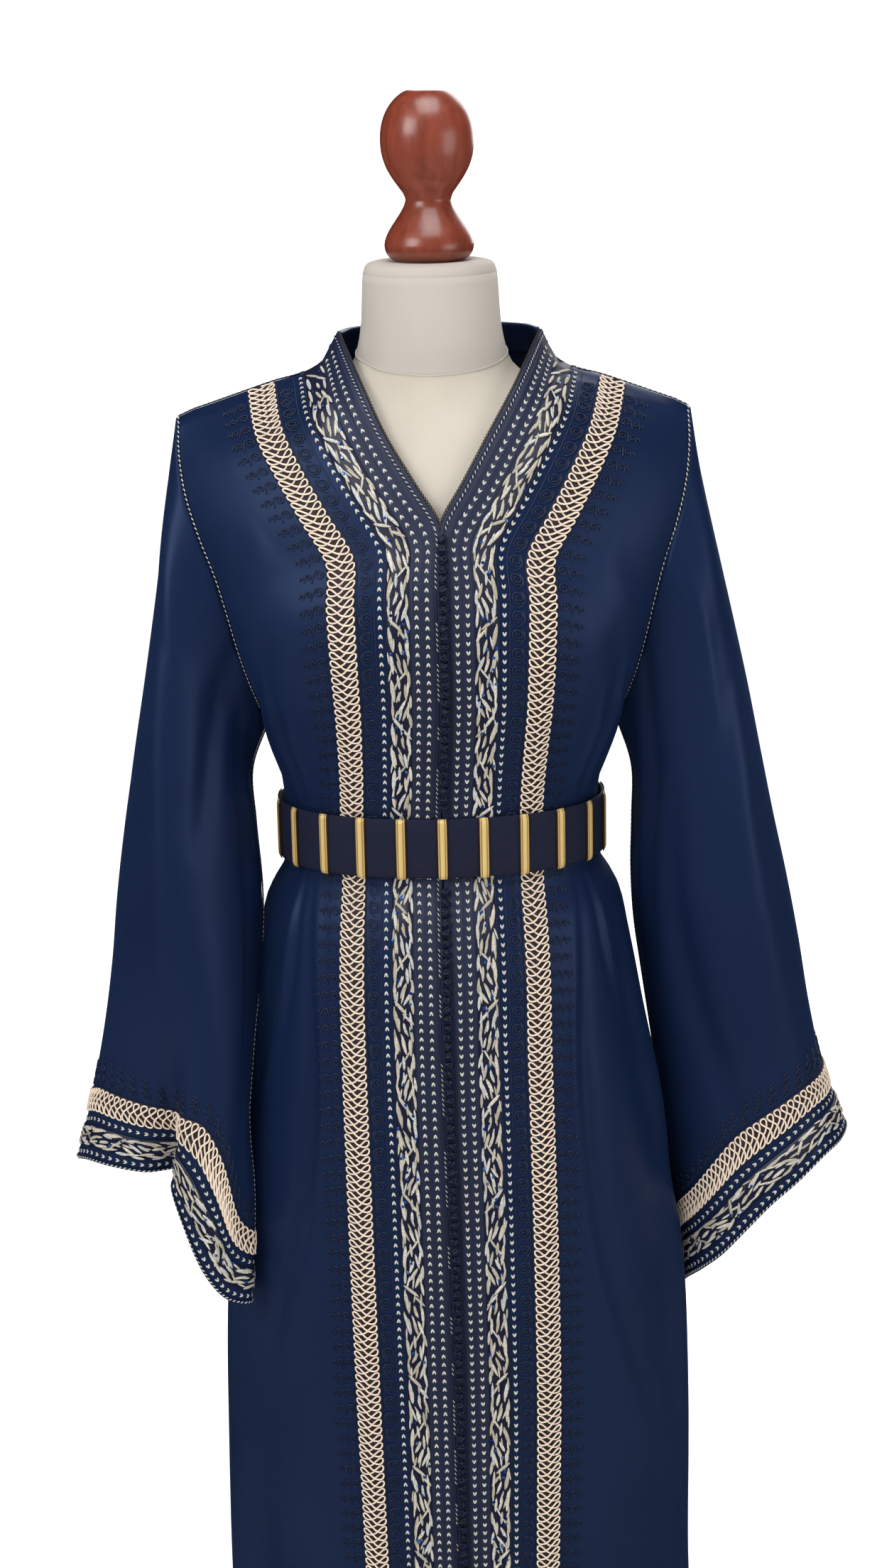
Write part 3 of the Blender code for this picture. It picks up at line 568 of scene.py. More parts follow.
def waist_loop(grids):
    """The closed outline of the cloth under the belt, with its outward directions."""
    level = next(i for i, row in enumerate(FRONT) if row["z_in"] == BELT_MIDDLE)
    points, ways = [], []
    left, right, back = (grids[name] for name in ("front_left", "front_right", "back"))
    for source, order in ((left, 1), (back, 1), (right, -1)):
        line, way = source[0][level], source[1][level]
        line, way = (line, way) if order > 0 else (line[::-1], way[::-1])
        points += line
        ways += way
    loop, outs = [], []
    for point, way in zip(points, ways):
        if loop and (loop[-1] - point).length < 2:
            continue
        loop.append(point)
        outs.append(Vector((way.x, way.y, 0)).normalized())
    if (loop[0] - loop[-1]).length < 2:
        loop.pop()
        outs.pop()
    return loop, outs


def front_edge(grids, z):
    """The middle between both fronts' edges at a height."""
    left, right = ([line[0] for line in grids[name][0]] for name in ("front_left", "front_right"))
    points = [(a + b) / 2 for a, b in zip(left, right)]
    for a, b in zip(points, points[1:]):
        if a.z <= z <= b.z:
            return a.lerp(b, (z - a.z) / (b.z - a.z))
    return points[-1]


def clear_of(point, trees):
    """The point, or the last one before the cloth on the way out to it."""
    start = Vector((0, 0, point.z))
    way = (point - start).normalized()
    reach = (point - start).length
    for tree in trees:
        hit, normal, _, distance = tree.ray_cast(start, way)
        if hit is not None:
            room = (TORSO_CLEAR + CLOTH) / max(0.25, abs(normal.dot(way)))
            reach = min(reach, distance - room)
    return start + way * reach


def sheet_tree(grid):
    """A grid as the vertices and faces that a ray can be cast on."""
    cols = len(grid[0])
    verts = [p for row in grid for p in row]
    faces = [
        (i * cols + j, i * cols + j + 1, (i + 1) * cols + j + 1, (i + 1) * cols + j)
        for i in range(len(grid) - 1)
        for j in range(cols - 1)
    ]
    return verts, faces


def neckline(grids):
    """A sheet across the open neck between both front edges, which the form stays behind."""
    rows = [i for i, row in enumerate(FRONT) if row["z_in"] > 1300]
    lines = []
    for i in rows:
        a, b = grids["front_right"][0][i][0], grids["front_left"][0][i][0]
        bulge = 85 * ((a.z - 1305) / 147) ** 4
        line = []
        for k in range(7):
            across = k / 3 - 1
            line.append(a.lerp(b, k / 6) - Vector((0, bulge * (1 - across * across), 0)))
        lines.append(line)
    return lines


# The smooth cloth that everything sewn on is placed by.


def smooth_line(knots, values, at):
    """Values on a smooth line through rows of values at their knots."""
    knots, values = np.asarray(knots, float), np.asarray(values, float)
    steps = np.diff(knots)
    slopes = np.diff(values, axis=0) / steps[:, None]
    bends = np.empty_like(values)
    weigh = steps[:, None]
    bends[1:-1] = (slopes[:-1] * weigh[1:] + slopes[1:] * weigh[:-1]) / (weigh[:-1] + weigh[1:])
    bends[0], bends[-1] = slopes[0], slopes[-1]
    i = np.clip(np.searchsorted(knots, at, side="right") - 1, 0, len(knots) - 2)
    t = ((at - knots[i]) / steps[i])[:, None]
    h = steps[i][:, None]
    return (
        (1 + 2 * t) * (1 - t) ** 2 * values[i]
        + t * (1 - t) ** 2 * h * bends[i]
        + t * t * (3 - 2 * t) * values[i + 1]
        + t * t * (t - 1) * h * bends[i + 1]
    )


def unit(vectors):
    return vectors / np.maximum(np.linalg.norm(vectors, axis=-1, keepdims=True), 1e-9)


class Cloth:
    """A smooth sheet of cloth through a grid of points. s runs along its rows and v up its columns."""

    def __init__(self, points, v, s, outward=1, period=0.0, creases=()):
        grid = np.array([[tuple(p) for p in row] for row in points])
        s = list(s)
        self.period = period
        if period:
            grid = np.concatenate([grid[:, -2:], grid, grid[:, :3]], axis=1)
            s = [s[-2] - period, s[-1] - period] + s + [s[0] + period, s[1] + period, s[2] + period]
        rows, cols = grid.shape[:2]
        low, high = (0.0, period) if period else (s[0], s[-1])
        self.v = np.linspace(v[0], v[-1], int((v[-1] - v[0]) / 3) + 2)
        self.s = np.linspace(low, high, int((high - low) / 3) + 2)
        across = smooth_line(s, grid.transpose(1, 0, 2).reshape(cols, -1), self.s)
        across = across.reshape(len(self.s), rows, 3).transpose(1, 0, 2)
        self.points = smooth_line(v, across.reshape(rows, -1), self.v).reshape(len(self.v), len(self.s), 3)
        self.outward = outward
        self.measure()
        if creases:
            v_at, s_at = np.meshgrid(self.v, self.s, indexing="ij")
            self.points = self.points + self.out * crease_depth(creases, v_at, s_at)[..., None]
            self.measure()

    def measure(self):
        """Works out the directions up, along and out of the sheet."""
        self.up = unit(np.gradient(self.points, axis=0))
        self.side = unit(self.wrapped_slope())
        self.out = unit(np.cross(self.side, self.up)) * self.outward

    def wrapped_slope(self):
        slope = np.gradient(self.points, axis=1)
        if self.period:
            slope[:, 0] = slope[:, -1] = (self.points[:, 1] - self.points[:, -2]) / 2
        return slope

    def look(self, v, s):
        """Points of the sheet at v and s, with the ways out, up and along there."""
        v, s = np.broadcast_arrays(np.asarray(v, float), np.asarray(s, float))
        s = s % self.period if self.period else s
        i = np.clip((v - self.v[0]) / (self.v[1] - self.v[0]), 0, len(self.v) - 1.001)
        j = np.clip((s - self.s[0]) / (self.s[1] - self.s[0]), 0, len(self.s) - 1.001)
        a, b = i.astype(int), j.astype(int)
        t, w = (i - a)[..., None], (j - b)[..., None]
        found = []
        for field in (self.points, self.out, self.up, self.side):
            low = field[a, b] * (1 - w) + field[a, b + 1] * w
            high = field[a + 1, b] * (1 - w) + field[a + 1, b + 1] * w
            found.append(low * (1 - t) + high * t)
        return found[0], unit(found[1]), unit(found[2]), unit(found[3])

    def run_up(self, s, low, high):
        """A measure of the way up the sheet at s, as v and the length from low."""
        v = np.linspace(low, high, 1500)
        s = np.interp(v, *s) if isinstance(s, tuple) else s
        walked = np.linalg.norm(np.diff(self.look(v, s)[0], axis=0), axis=1)
        return v, np.concatenate([[0], np.cumsum(walked)])

    def run_round(self, v):
        """A measure of the way round the sheet at v, as s and the length from its start."""
        s = np.linspace(0, self.period, 800)
        walked = np.linalg.norm(np.diff(self.look(v, np.minimum(s, self.period - 1e-6))[0], axis=0), axis=1)
        return s, np.concatenate([[0], np.cumsum(walked)])


def crease_depth(creases, v, s):
    """How far creases move the cloth out. Each is a soft trough or ridge from one place to another."""
    total = np.zeros_like(v)
    for v0, s0, v1, s1, width, depth in creases:
        way = np.array([v1 - v0, s1 - s0], float)
        long = np.hypot(*way)
        way /= long
        down, off = (v - v0) * way[0] + (s - s0) * way[1], (s - s0) * way[0] - (v - v0) * way[1]
        bow = off - 0.05 * long * np.sin(np.clip(down / long, 0, 1) * math.pi)
        ends = np.clip(down / long, 0, 1)
        fade = np.where((down < 0) | (down > long), 0, np.sin(ends * math.pi) ** 0.8)
        total += depth * fade * np.exp(-((bow / width) ** 2))
    return total


# Creases pressed or pulled into the cloth: v and s of each one's start, then of its end, its half width
# and its depth. v is up the sheet and s along it.
CREASES = {
    "front_left": (
        (986, 126, 430, 168, 5, 4.5),
        (986, 133, 430, 177, 6, -4.5),
        (985, 158, 780, 194, 5, 4.8),
        (984, 151, 820, 182, 5, -3.6),
        (985, 182, 640, 214, 12, -6),
        (60, 150, 520, 176, 12, 6),
        (70, 172, 480, 190, 10, -5),
        (40, 200, 700, 196, 16, 7),
        (1054, 130, 1180, 152, 5, 4.2),
        (1053, 152, 1215, 186, 6, 5.0),
        (1055, 144, 1190, 174, 5, -3.8),
        (1054, 178, 1160, 206, 7, 4.5),
        (1240, 150, 1165, 200, 14, -3.5),
        (1330, 128, 1270, 186, 14, 2.4),
    ),
    "front_right": (
        (986, 122, 520, 160, 5, 4.5),
        (986, 129, 520, 169, 6, -4.5),
        (985, 150, 760, 182, 5, 4.8),
        (984, 143, 800, 170, 5, -3.6),
        (985, 178, 660, 210, 12, -6),
        (70, 138, 470, 168, 11, -6),
        (60, 158, 520, 180, 12, 6.5),
        (40, 192, 640, 200, 16, 6),
        (1054, 128, 1165, 148, 5, 4.0),
        (1053, 148, 1205, 182, 6, 5.0),
        (1055, 140, 1180, 170, 5, -3.8),
        (1054, 174, 1160, 204, 7, 4.5),
        (1250, 156, 1160, 206, 16, -3.4),
        (1330, 130, 1290, 190, 14, 2.2),
    ),
    "back": (
        (1048, 150, 1250, 84, 14, -6),
        (1048, 470, 1260, 536, 14, -5.6),
        (1048, 310, 1180, 300, 18, 4.6),
        (1048, 240, 1170, 200, 12, 4.2),
        (1048, 390, 1175, 430, 12, 3.8),
        (520, 120, 988, 190, 18, -8.5),
        (480, 500, 988, 430, 18, -8),
        (120, 300, 940, 308, 24, 7),
        (260, 215, 980, 245, 16, -5),
        (240, 410, 980, 372, 16, -5.2),
        (1330, 200, 1260, 330, 16, -2.6),
    ),
    "sleeve_left": (
        (60, 150, 480, 215, 16, -8),
        (40, 60, 460, 96, 24, 7),
        (300, 250, 640, 200, 14, -5.6),
        (420, 140, 640, 110, 16, 4.4),
        (80, 420, 520, 400, 20, -6.5),
        (120, 520, 560, 540, 22, 5.6),
    ),
    "sleeve_right": (
        (90, 250, 560, 236, 14, -8),
        (60, 120, 480, 96, 26, 7),
        (330, 176, 640, 196, 14, -5.4),
        (200, 300, 520, 272, 12, 4.6),
        (80, 430, 520, 452, 20, -6.5),
        (120, 540, 560, 520, 22, 5.6),
    ),
}


def sheet_knots(points, edges, cells):
    """Where a grid's columns are, in millimetres: the bands' edges, then even steps as long as their mean."""
    last = len(edges) - 1
    rest = np.mean([line_length(list(row[last:])) for row in points])
    return list(edges) + [edges[-1] + rest * k / cells for k in range(1, cells + 1)]


_made = {}


def shapes():
    """The garment's smooth sheets, worked out once."""
    if _made:
        return _made
    grids = body_grids()
    heights = [row["z_in"] for row in FRONT]
    for name, outward in (("front_left", 1), ("front_right", -1)):
        points = grids[name][0]
        knots = sheet_knots(points, BAND_EDGES, OUTER_CELLS)
        _made[name] = Cloth(points, heights, knots, outward, creases=CREASES[name])
    points = grids["back"][0]
    wide = np.mean([line_length(row) for row in points])
    cols = len(points[0])
    back_knots = [wide * k / (cols - 1) for k in range(cols)]
    _made["back"] = Cloth(points, [row[0] for row in BACK_ROWS], back_knots, 1, creases=CREASES["back"])
    for side, name in ((1, "left"), (-1, "right")):
        rings = sleeve_rings(grids, side, name)[::-1]
        count = len(rings[0])
        round_it = np.mean([line_length(ring + ring[:1]) for ring in rings])
        long = np.mean([line_length(column) for column in zip(*rings)])
        rise = list(CUFF_EDGES) + [
            CUFF_EDGES[-1] + (long - CUFF_EDGES[-1]) * k / SLEEVE_CELLS for k in range(1, SLEEVE_CELLS + 1)
        ]
        knots = [round_it * k / count for k in range(count)]
        _made[f"sleeve_{name}"] = Cloth(
            rings, rise, knots, -side, period=round_it, creases=CREASES[f"sleeve_{name}"]
        )
    _made["grids"] = grids
    return _made


# Making meshes


def linear(code):
    """A colour of an sRGB hex code, as the shader takes it."""
    parts = [int(code[k:k + 2], 16) / 255 for k in (1, 3, 5)]
    return tuple(c / 12.92 if c <= 0.04045 else ((c + 0.055) / 1.055) ** 2.4 for c in parts) + (1.0,)


def show(name, mesh, finish):
    """Links a finished mesh as a piece with its material, riding on the one body."""
    made = bpy.data.objects.new(name, mesh)
    bpy.context.scene.collection.objects.link(made)
    mesh.materials.append(FINISHES[finish]())
    mesh.shade_smooth()
    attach(made, "root")
    return made


def from_bmesh(name, bm, finish):
    """Makes a bmesh, in millimetres, a piece in metres."""
    bmesh.ops.scale(bm, vec=(MM, MM, MM), verts=bm.verts)
    mesh = bpy.data.meshes.new(name)
    bm.to_mesh(mesh)
    bm.free()
    return show(name, mesh, finish)


def from_arrays(name, points, faces, uvs, finish, tones=None):
    """A piece of many small joined shapes, from its points in millimetres, its faces and their uvs."""
    mesh = bpy.data.meshes.new(name)
    points, faces = np.asarray(points, np.float32), np.asarray(faces, np.int32)
    corners = faces.shape[1]
    mesh.vertices.add(len(points))
    mesh.vertices.foreach_set("co", (points * MM).ravel())
    mesh.loops.add(faces.size)
    mesh.loops.foreach_set("vertex_index", faces.ravel())
    mesh.polygons.add(len(faces))
    mesh.polygons.foreach_set("loop_start", np.arange(0, faces.size, corners, dtype=np.int32))
    layer = mesh.uv_layers.new(name="cloth")
    layer.data.foreach_set("uv", np.asarray(uvs, np.float32)[faces.ravel()].ravel())
    if tones is not None:
        kept = mesh.attributes.new("tone", "FLOAT", "POINT")
        kept.data.foreach_set("value", np.asarray(tones, np.float32))
    mesh.update(calc_edges=True)
    mesh.validate()
    return show(name, mesh, finish)


def cloth_piece(name, cloth, v, s, finish, slot, rise=0.0, thick=None, fine=(7.0, 6.0), profile=None):
    """A thin shell of a part of a sheet: a grid laid on it, and a solidify for the cloth's thickness."""
    (v_low, v_high), (s_low, s_high) = v, s
    ups = max(2, int((v_high - v_low) / fine[0]))
    rounds = max(2, int((s_high - s_low) / fine[1])) if profile is None else len(profile) - 1
    bm = bmesh.new()
    bmesh.ops.create_grid(bm, x_segments=rounds, y_segments=ups, size=0.5)
    layer = bm.loops.layers.uv.new("cloth")
    bm.verts.index_update()
    flat = np.array([tuple(vert.co)[:2] for vert in bm.verts]) + 0.5
    v_at = v_low + flat[:, 1] * (v_high - v_low)
    if profile is None:
        s_at, lift = s_low + flat[:, 0] * (s_high - s_low), rise
    else:
        step = np.rint(flat[:, 0] * rounds).astype(int)
        s_at = np.array([p[0] for p in profile])[step]
        lift = np.array([p[1] for p in profile])[step]
    whole = cloth.period and s_high - s_low > cloth.period - 1
    points, out, _, _ = cloth.look(v_at, s_at)
    points = points + out * (lift[:, None] if profile is not None else lift)
    for vert, co in zip(bm.verts, points):
        vert.co = co
    for face in bm.faces:
        for loop in face.loops:
            loop[layer].uv = (s_at[loop.vert.index] * MM, v_at[loop.vert.index] * MM)
    if whole:
        bmesh.ops.remove_doubles(bm, verts=bm.verts[:], dist=0.01)
    if cloth.outward < 0:
        bmesh.ops.reverse_faces(bm, faces=bm.faces[:])
    made = from_bmesh(name, bm, finish)
    wall = made.modifiers.new("cloth", "SOLIDIFY")
    wall.thickness = (thick or CLOTH) * MM
    wall.offset = -1
    return made


def tubes(paths, outs, radius, sides=4, closed=False):
    """Round cords along paths of as many points each: their points, faces and uvs."""
    paths, outs = np.asarray(paths, float), np.asarray(outs, float)
    cords, count = paths.shape[:2]
    if closed:
        ways = np.roll(paths, -1, axis=1) - np.roll(paths, 1, axis=1)
    else:
        ways = np.gradient(paths, axis=1)
    ways = unit(ways)
    across = unit(np.cross(ways, outs))
    outs = np.cross(across, ways)
    turn = np.arange(sides) / sides * math.tau
    radius = np.broadcast_to(np.asarray(radius, float), (cords, count))[..., None, None]
    ring = across[:, :, None] * np.cos(turn)[:, None] + outs[:, :, None] * np.sin(turn)[:, None]
    points = paths[:, :, None] + ring * radius
    gaps = np.linalg.norm(np.diff(paths, axis=1), axis=2)
    run = np.concatenate([np.zeros((cords, 1)), np.cumsum(gaps, axis=1)], axis=1) * MM
    share = np.broadcast_to(turn / math.tau, (cords, count, sides))
    uvs = np.stack([np.repeat(run[:, :, None], sides, axis=2), share], axis=3)
    index = np.arange(cords * count * sides).reshape(cords, count, sides)
    after = np.roll(index, -1, axis=2)
    if closed:
        low, high = index, np.roll(index, -1, axis=1)
        low_next, high_next = after, np.roll(after, -1, axis=1)
    else:
        low, high, low_next, high_next = index[:, :-1], index[:, 1:], after[:, :-1], after[:, 1:]
    faces = np.stack([low, high, high_next, low_next], axis=-1).reshape(-1, 4)
    if not closed:
        for k in range(1, sides // 2):
            corner = [0, 2 * k - 1, 2 * k, 2 * k + 1]
            faces = np.concatenate([faces, index[:, 0, corner], index[:, -1, corner[::-1]]])
    return points.reshape(-1, 3), faces, uvs.reshape(-1, 2)


def as_arrays(bm):
    """A bmesh's points and triangles, which frees it."""
    bm.verts.index_update()
    points = np.array([tuple(vert.co) for vert in bm.verts])
    faces = np.array([[vert.index for vert in face.verts] for face in bm.faces])
    bm.free()
    return points, faces


def seed_shape(across, along, flat=0.5, point=1.0):
    """A small plump stitch or leaf, one unit long and wide: its points, triangles and uvs."""
    bm = bmesh.new()
    bmesh.ops.create_uvsphere(bm, u_segments=across, v_segments=along, radius=0.5)
    bmesh.ops.rotate(bm, cent=(0, 0, 0), matrix=Matrix.Rotation(math.radians(-90), 3, "X"), verts=bm.verts)
    bmesh.ops.triangulate(bm, faces=bm.faces[:])
    points, faces = as_arrays(bm)
    slim = np.sqrt(np.maximum(0, 1 - (2 * points[:, 1]) ** 2)) ** (point - 1) if point != 1 else 1.0
    uvs = points[:, 1::-1] + 0.5
    points = points * np.array([1, 1, flat])
    points[:, 0] *= slim
    return points, faces, uvs


def stamped(shape, places, outs, ups, sizes, turns=0.0):
    """Copies of a small shape at places, each of a size and turned on the cloth: points, faces and uvs."""
    points, faces, uvs = shape
    places, outs, ups = (np.asarray(x, float) for x in (places, outs, ups))
    count = len(places)
    turns = np.broadcast_to(turns, count)[:, None]
    sizes = np.broadcast_to(sizes, (count, 3))
    across = unit(np.cross(ups, outs))
    ups = np.cross(outs, across)
    x_way = across * np.cos(turns) + ups * np.sin(turns)
    y_way = unit(ups * np.cos(turns) - across * np.sin(turns))
    made = (
        places[:, None]
        + x_way[:, None] * (points[:, 0] * sizes[:, :1])[..., None]
        + y_way[:, None] * (points[:, 1] * sizes[:, 1:2])[..., None]
        + outs[:, None] * (points[:, 2] * sizes[:, 2:])[..., None]
    )
    index = np.arange(count)[:, None, None] * len(points)
    return made.reshape(-1, 3), (faces[None] + index).reshape(-1, 3), np.tile(uvs, (count, 1))


def gathered(parts):
    """Several lots of points, faces and uvs as one."""
    points, faces, uvs, start = [], [], [], 0
    for p, f, w in parts:
        points.append(p)
        faces.append(f + start)
        uvs.append(w)
        start += len(p)
    return np.concatenate(points), np.concatenate(faces), np.concatenate(uvs)


# Materials

WAVE = math.tau / 20      # a wave texture of scale 1 repeats at this distance
NECK_SEAM, NECK_TILT = 1436.0, 0.2      # the form's neck seam at its sides, and how it dips to the front
NECK_LAP, LAP_TOP = 57.75, 1503.0      # half width and height where the body's jersey ends on the neck


def add(tree, kind, inputs=None, **settings):
    """Adds a node with its settings, its inputs' values and the sockets that feed them."""
    made = tree.nodes.new(kind)
    for name, value in settings.items():
        setattr(made, name, value)
    for name, value in (inputs or {}).items():
        if isinstance(value, bpy.types.NodeSocket):
            tree.links.new(value, made.inputs[name])
        else:
            made.inputs[name].default_value = value
    return made


def blank(name, **settings):
    """A new material with only its shader, whose own sockets take the constant settings."""
    made = bpy.data.materials.new(name)
    made.use_nodes = True
    tree = made.node_tree
    tree.nodes.clear()
    shader = add(tree, "ShaderNodeBsdfPrincipled", settings)
    add(tree, "ShaderNodeOutputMaterial", {"Surface": shader.outputs["BSDF"]})
    return made, tree, shader


def ramp(tree, factor, *stops):
    """A colour ramp with its stops as (place, hex code)."""
    made = add(tree, "ShaderNodeValToRGB", {"Fac": factor})
    points = made.color_ramp.elements
    points[0].position, points[0].color = stops[0][0], linear(stops[0][1])
    points[1].position, points[1].color = stops[-1][0], linear(stops[-1][1])
    for place, code in stops[1:-1]:
        points.new(place).color = linear(code)
    return made.outputs["Color"]


def cloth_uv(tree):
    """A piece's own uv, in metres on the cloth and over its whole shape on a stitch."""
    return add(tree, "ShaderNodeUVMap", uv_map="cloth").outputs["UV"]


def object_place(tree):
    return add(tree, "ShaderNodeTexCoord").outputs["Object"]


def reckoned(tree, operation, *values):
    """The result of a sum with these values."""
    return add(tree, "ShaderNodeMath", dict(enumerate(values)), operation=operation).outputs["Value"]


def blended(tree, share, first, second, **settings):
    """The second colour over the first by a share."""
    made = add(tree, "ShaderNodeMix", {0: share, 6: first, 7: second}, data_type="RGBA", **settings)
    return made.outputs[2]


def dye(tree, shader, paint):
    tree.links.new(paint, shader.inputs["Base Color"])


def emboss(tree, shader, height, strength, distance):
    """Bumps a surface by a height of so many metres."""
    bump = add(tree, "ShaderNodeBump", {"Height": height, "Strength": strength, "Distance": distance})
    tree.links.new(bump.outputs["Normal"], shader.inputs["Normal"])


def colours():
    return bpy.context.scene.kaftan_colours


def once(build):
    """Keeps the material that a function makes, so that it is made once."""
    kept = {}

    def give():
        if build not in kept:
            kept[build] = build()
        return kept[build]

    return give


@once
def crepe_satin():
    """Crepe-back satin of polyester, woven: a soft broad lustre over a fine pebbled grain."""
    made, tree, shader = blank("crepe_back_satin_woven", Roughness=0.42, IOR=1.5)
    shader.inputs["Specular Tint"].default_value = linear("#8aa2d2")
    shader.inputs["Specular IOR Level"].default_value = 0.42
    shader.inputs["Sheen Weight"].default_value = 0.08
    shader.inputs["Sheen Roughness"].default_value = 0.4
    shader.inputs["Sheen Tint"].default_value = linear(colours().sheen)
    uv = cloth_uv(tree)
    place = object_place(tree)
    broad = add(tree, "ShaderNodeTexNoise", {"Vector": place, "Scale": 5.0, "Detail": 2.0})
    colour = ramp(tree, broad.outputs["Fac"], (0.32, colours().satin_deep), (0.7, colours().satin))
    dye(tree, shader, colour)
    # Crepe pebbles are 0.6 mm across and are drawn at 1.6 mm so that they show.
    pebbles = add(tree, "ShaderNodeTexNoise", {"Vector": uv, "Scale": 1000 / 1.6, "Detail": 1.0})
    # Slack in the cloth, hollows about 60 mm across.
    slack = add(
        tree, "ShaderNodeTexNoise", {"Vector": place, "Scale": 1000 / 62, "Detail": 2.0, "Roughness": 0.45}
    )
    soft = add(tree, "ShaderNodeBump", {"Height": slack.outputs["Fac"], "Strength": 0.35, "Distance": 0.004})
    grain = add(
        tree, "ShaderNodeBump",
        {
            "Height": pebbles.outputs["Fac"], "Strength": 0.12, "Distance": 0.0003,
            "Normal": soft.outputs["Normal"],
        },
    )
    tree.links.new(grain.outputs["Normal"], shader.inputs["Normal"])
    return made


def ribbed(name, colour, dark, pitch, turn, **settings):
    """A cloth with fine ribs at a pitch in millimetres, turned from along to across, with painted shade in
    the ribs' troughs.
    """
    made, tree, shader = blank(name, **settings)
    uv = cloth_uv(tree)
    laid = add(tree, "ShaderNodeMapping", {"Vector": uv, "Rotation": (0, 0, turn)})
    ribs = add(
        tree, "ShaderNodeTexWave",
        {"Vector": laid.outputs["Vector"], "Scale": WAVE / (pitch * MM), "Distortion": 0.6, "Detail": 1.0,
         "Detail Scale": 2.0},
        wave_profile="SIN",
    )
    # Painted shade: the colour darkens in the troughs between the ribs, following the same waves as the bump.
    dye(tree, shader, ramp(tree, ribs.outputs["Fac"], (0.1, dark), (0.8, colour)))
    emboss(tree, shader, ribs.outputs["Fac"], 0.5, 0.0003)
    return made


@once
def band_cloth():
    """Cotton-backed satin band, machine quilted lengthwise: duller than the dress, with close ribs."""
    return ribbed("band_satin_quilted", colours().band, "#121c3a", 1.5, 0.0, Roughness=0.6, IOR=1.5)


@once
def leaf_ground():
    """Embroidery ground of filled satin stitch: a dark blue-black cloth with fine diagonal threads."""
    return ribbed(
        "satin_stitch_ground_embroidered", "#171d44", "#0d0d16", 1.2, 0.6, Roughness=0.42, IOR=1.5
    )


@once
def braid_ground():
    """Net under the looped braid, woven, in a brown-black that is painted shade, for the shade among the gold
    loops, so that the loops stand out.
    """
    # Painted shade: the net's brown-black stands for the shade that the gold loops throw on it.
    return ribbed("braid_net_painted_shade", "#3a2a2c", "#181320", 1.3, 0.8, Roughness=0.7, IOR=1.5)


@once
def belt_cloth():
    """Grosgrain belting, woven with fine crosswise ribs: almost black, hardly shiny."""
    return ribbed(
        "grosgrain_belting_woven", colours().belt, "#0d1228", 1.3, math.pi / 2, Roughness=0.8, IOR=1.4
    )


def twisted(name, colour, dark, pitch, **settings):
    """A cord of twisted threads: slanting grooves that follow it, with painted shade in the grooves."""
    made, tree, shader = blank(name, **settings)
    uv = cloth_uv(tree)
    parts = add(tree, "ShaderNodeSeparateXYZ", {"Vector": uv})
    run = reckoned(tree, "MULTIPLY", parts.outputs["X"], 1000 / pitch)
    turns = reckoned(tree, "ADD", run, parts.outputs["Y"])
    groove = reckoned(tree, "SINE", reckoned(tree, "MULTIPLY", turns, math.tau))
    height = reckoned(tree, "MULTIPLY_ADD", groove, 0.5, 0.5)
    # Painted shade: the colour darkens in the grooves, following the same height as the bump.
    dye(tree, shader, ramp(tree, height, (0.05, dark), (0.6, colour)))
    emboss(tree, shader, height, 0.5, 0.0004)
    return made


@once
def gold_cord():
    """Rayon cord with a gilt thread, twisted: pale rose gold with a silky gleam."""
    return twisted("gilt_rayon_cord_twisted", colours().gold_cord, "#d9bda2", 1.3, Roughness=0.42, IOR=1.5)


@once
def tonal_cord():
    """Rayon cord, twisted and couched: as blue as the cloth, a little glossier."""
    return twisted("navy_rayon_cord_twisted", colours().tonal_cord, "#121d38", 1.4, Roughness=0.42, IOR=1.5)


@once
def knot_cord():
    """Silk cord, hand knotted: blue-black with small bright highlights."""
    return twisted("silk_cord_knotted", colours().knot, "#04060d", 1.2, Roughness=0.38, IOR=1.5)


@once
def edging():
    """Cotton yarn, crocheted: brown-black rings over the edge."""
    return twisted("cotton_yarn_crocheted", "#3a3029", "#14100e", 1.1, Roughness=0.7, IOR=1.5)


@once
def white_thread():
    """Lurex-laced cotton thread, embroidered: off-white with a dull sparkle."""
    made, tree, shader = blank("lurex_cotton_thread_sewn", Roughness=0.45, IOR=1.5, Metallic=0.1)
    uv = cloth_uv(tree)
    # Each stitch is of four strands, so that its uv is crossed by four waves.
    strands = add(
        tree, "ShaderNodeTexWave", {"Vector": uv, "Scale": WAVE / 0.27, "Distortion": 0.8, "Detail": 1.0},
        bands_direction="DIAGONAL",
    )
    # Painted shade: the colour greys between the strands, following the same waves as the bump.
    colour = ramp(tree, strands.outputs["Fac"], (0.1, "#9a968c"), (0.6, colours().white_thread))
    dye(tree, shader, colour)
    emboss(tree, shader, strands.outputs["Fac"], 0.4, 0.0003)
    return made


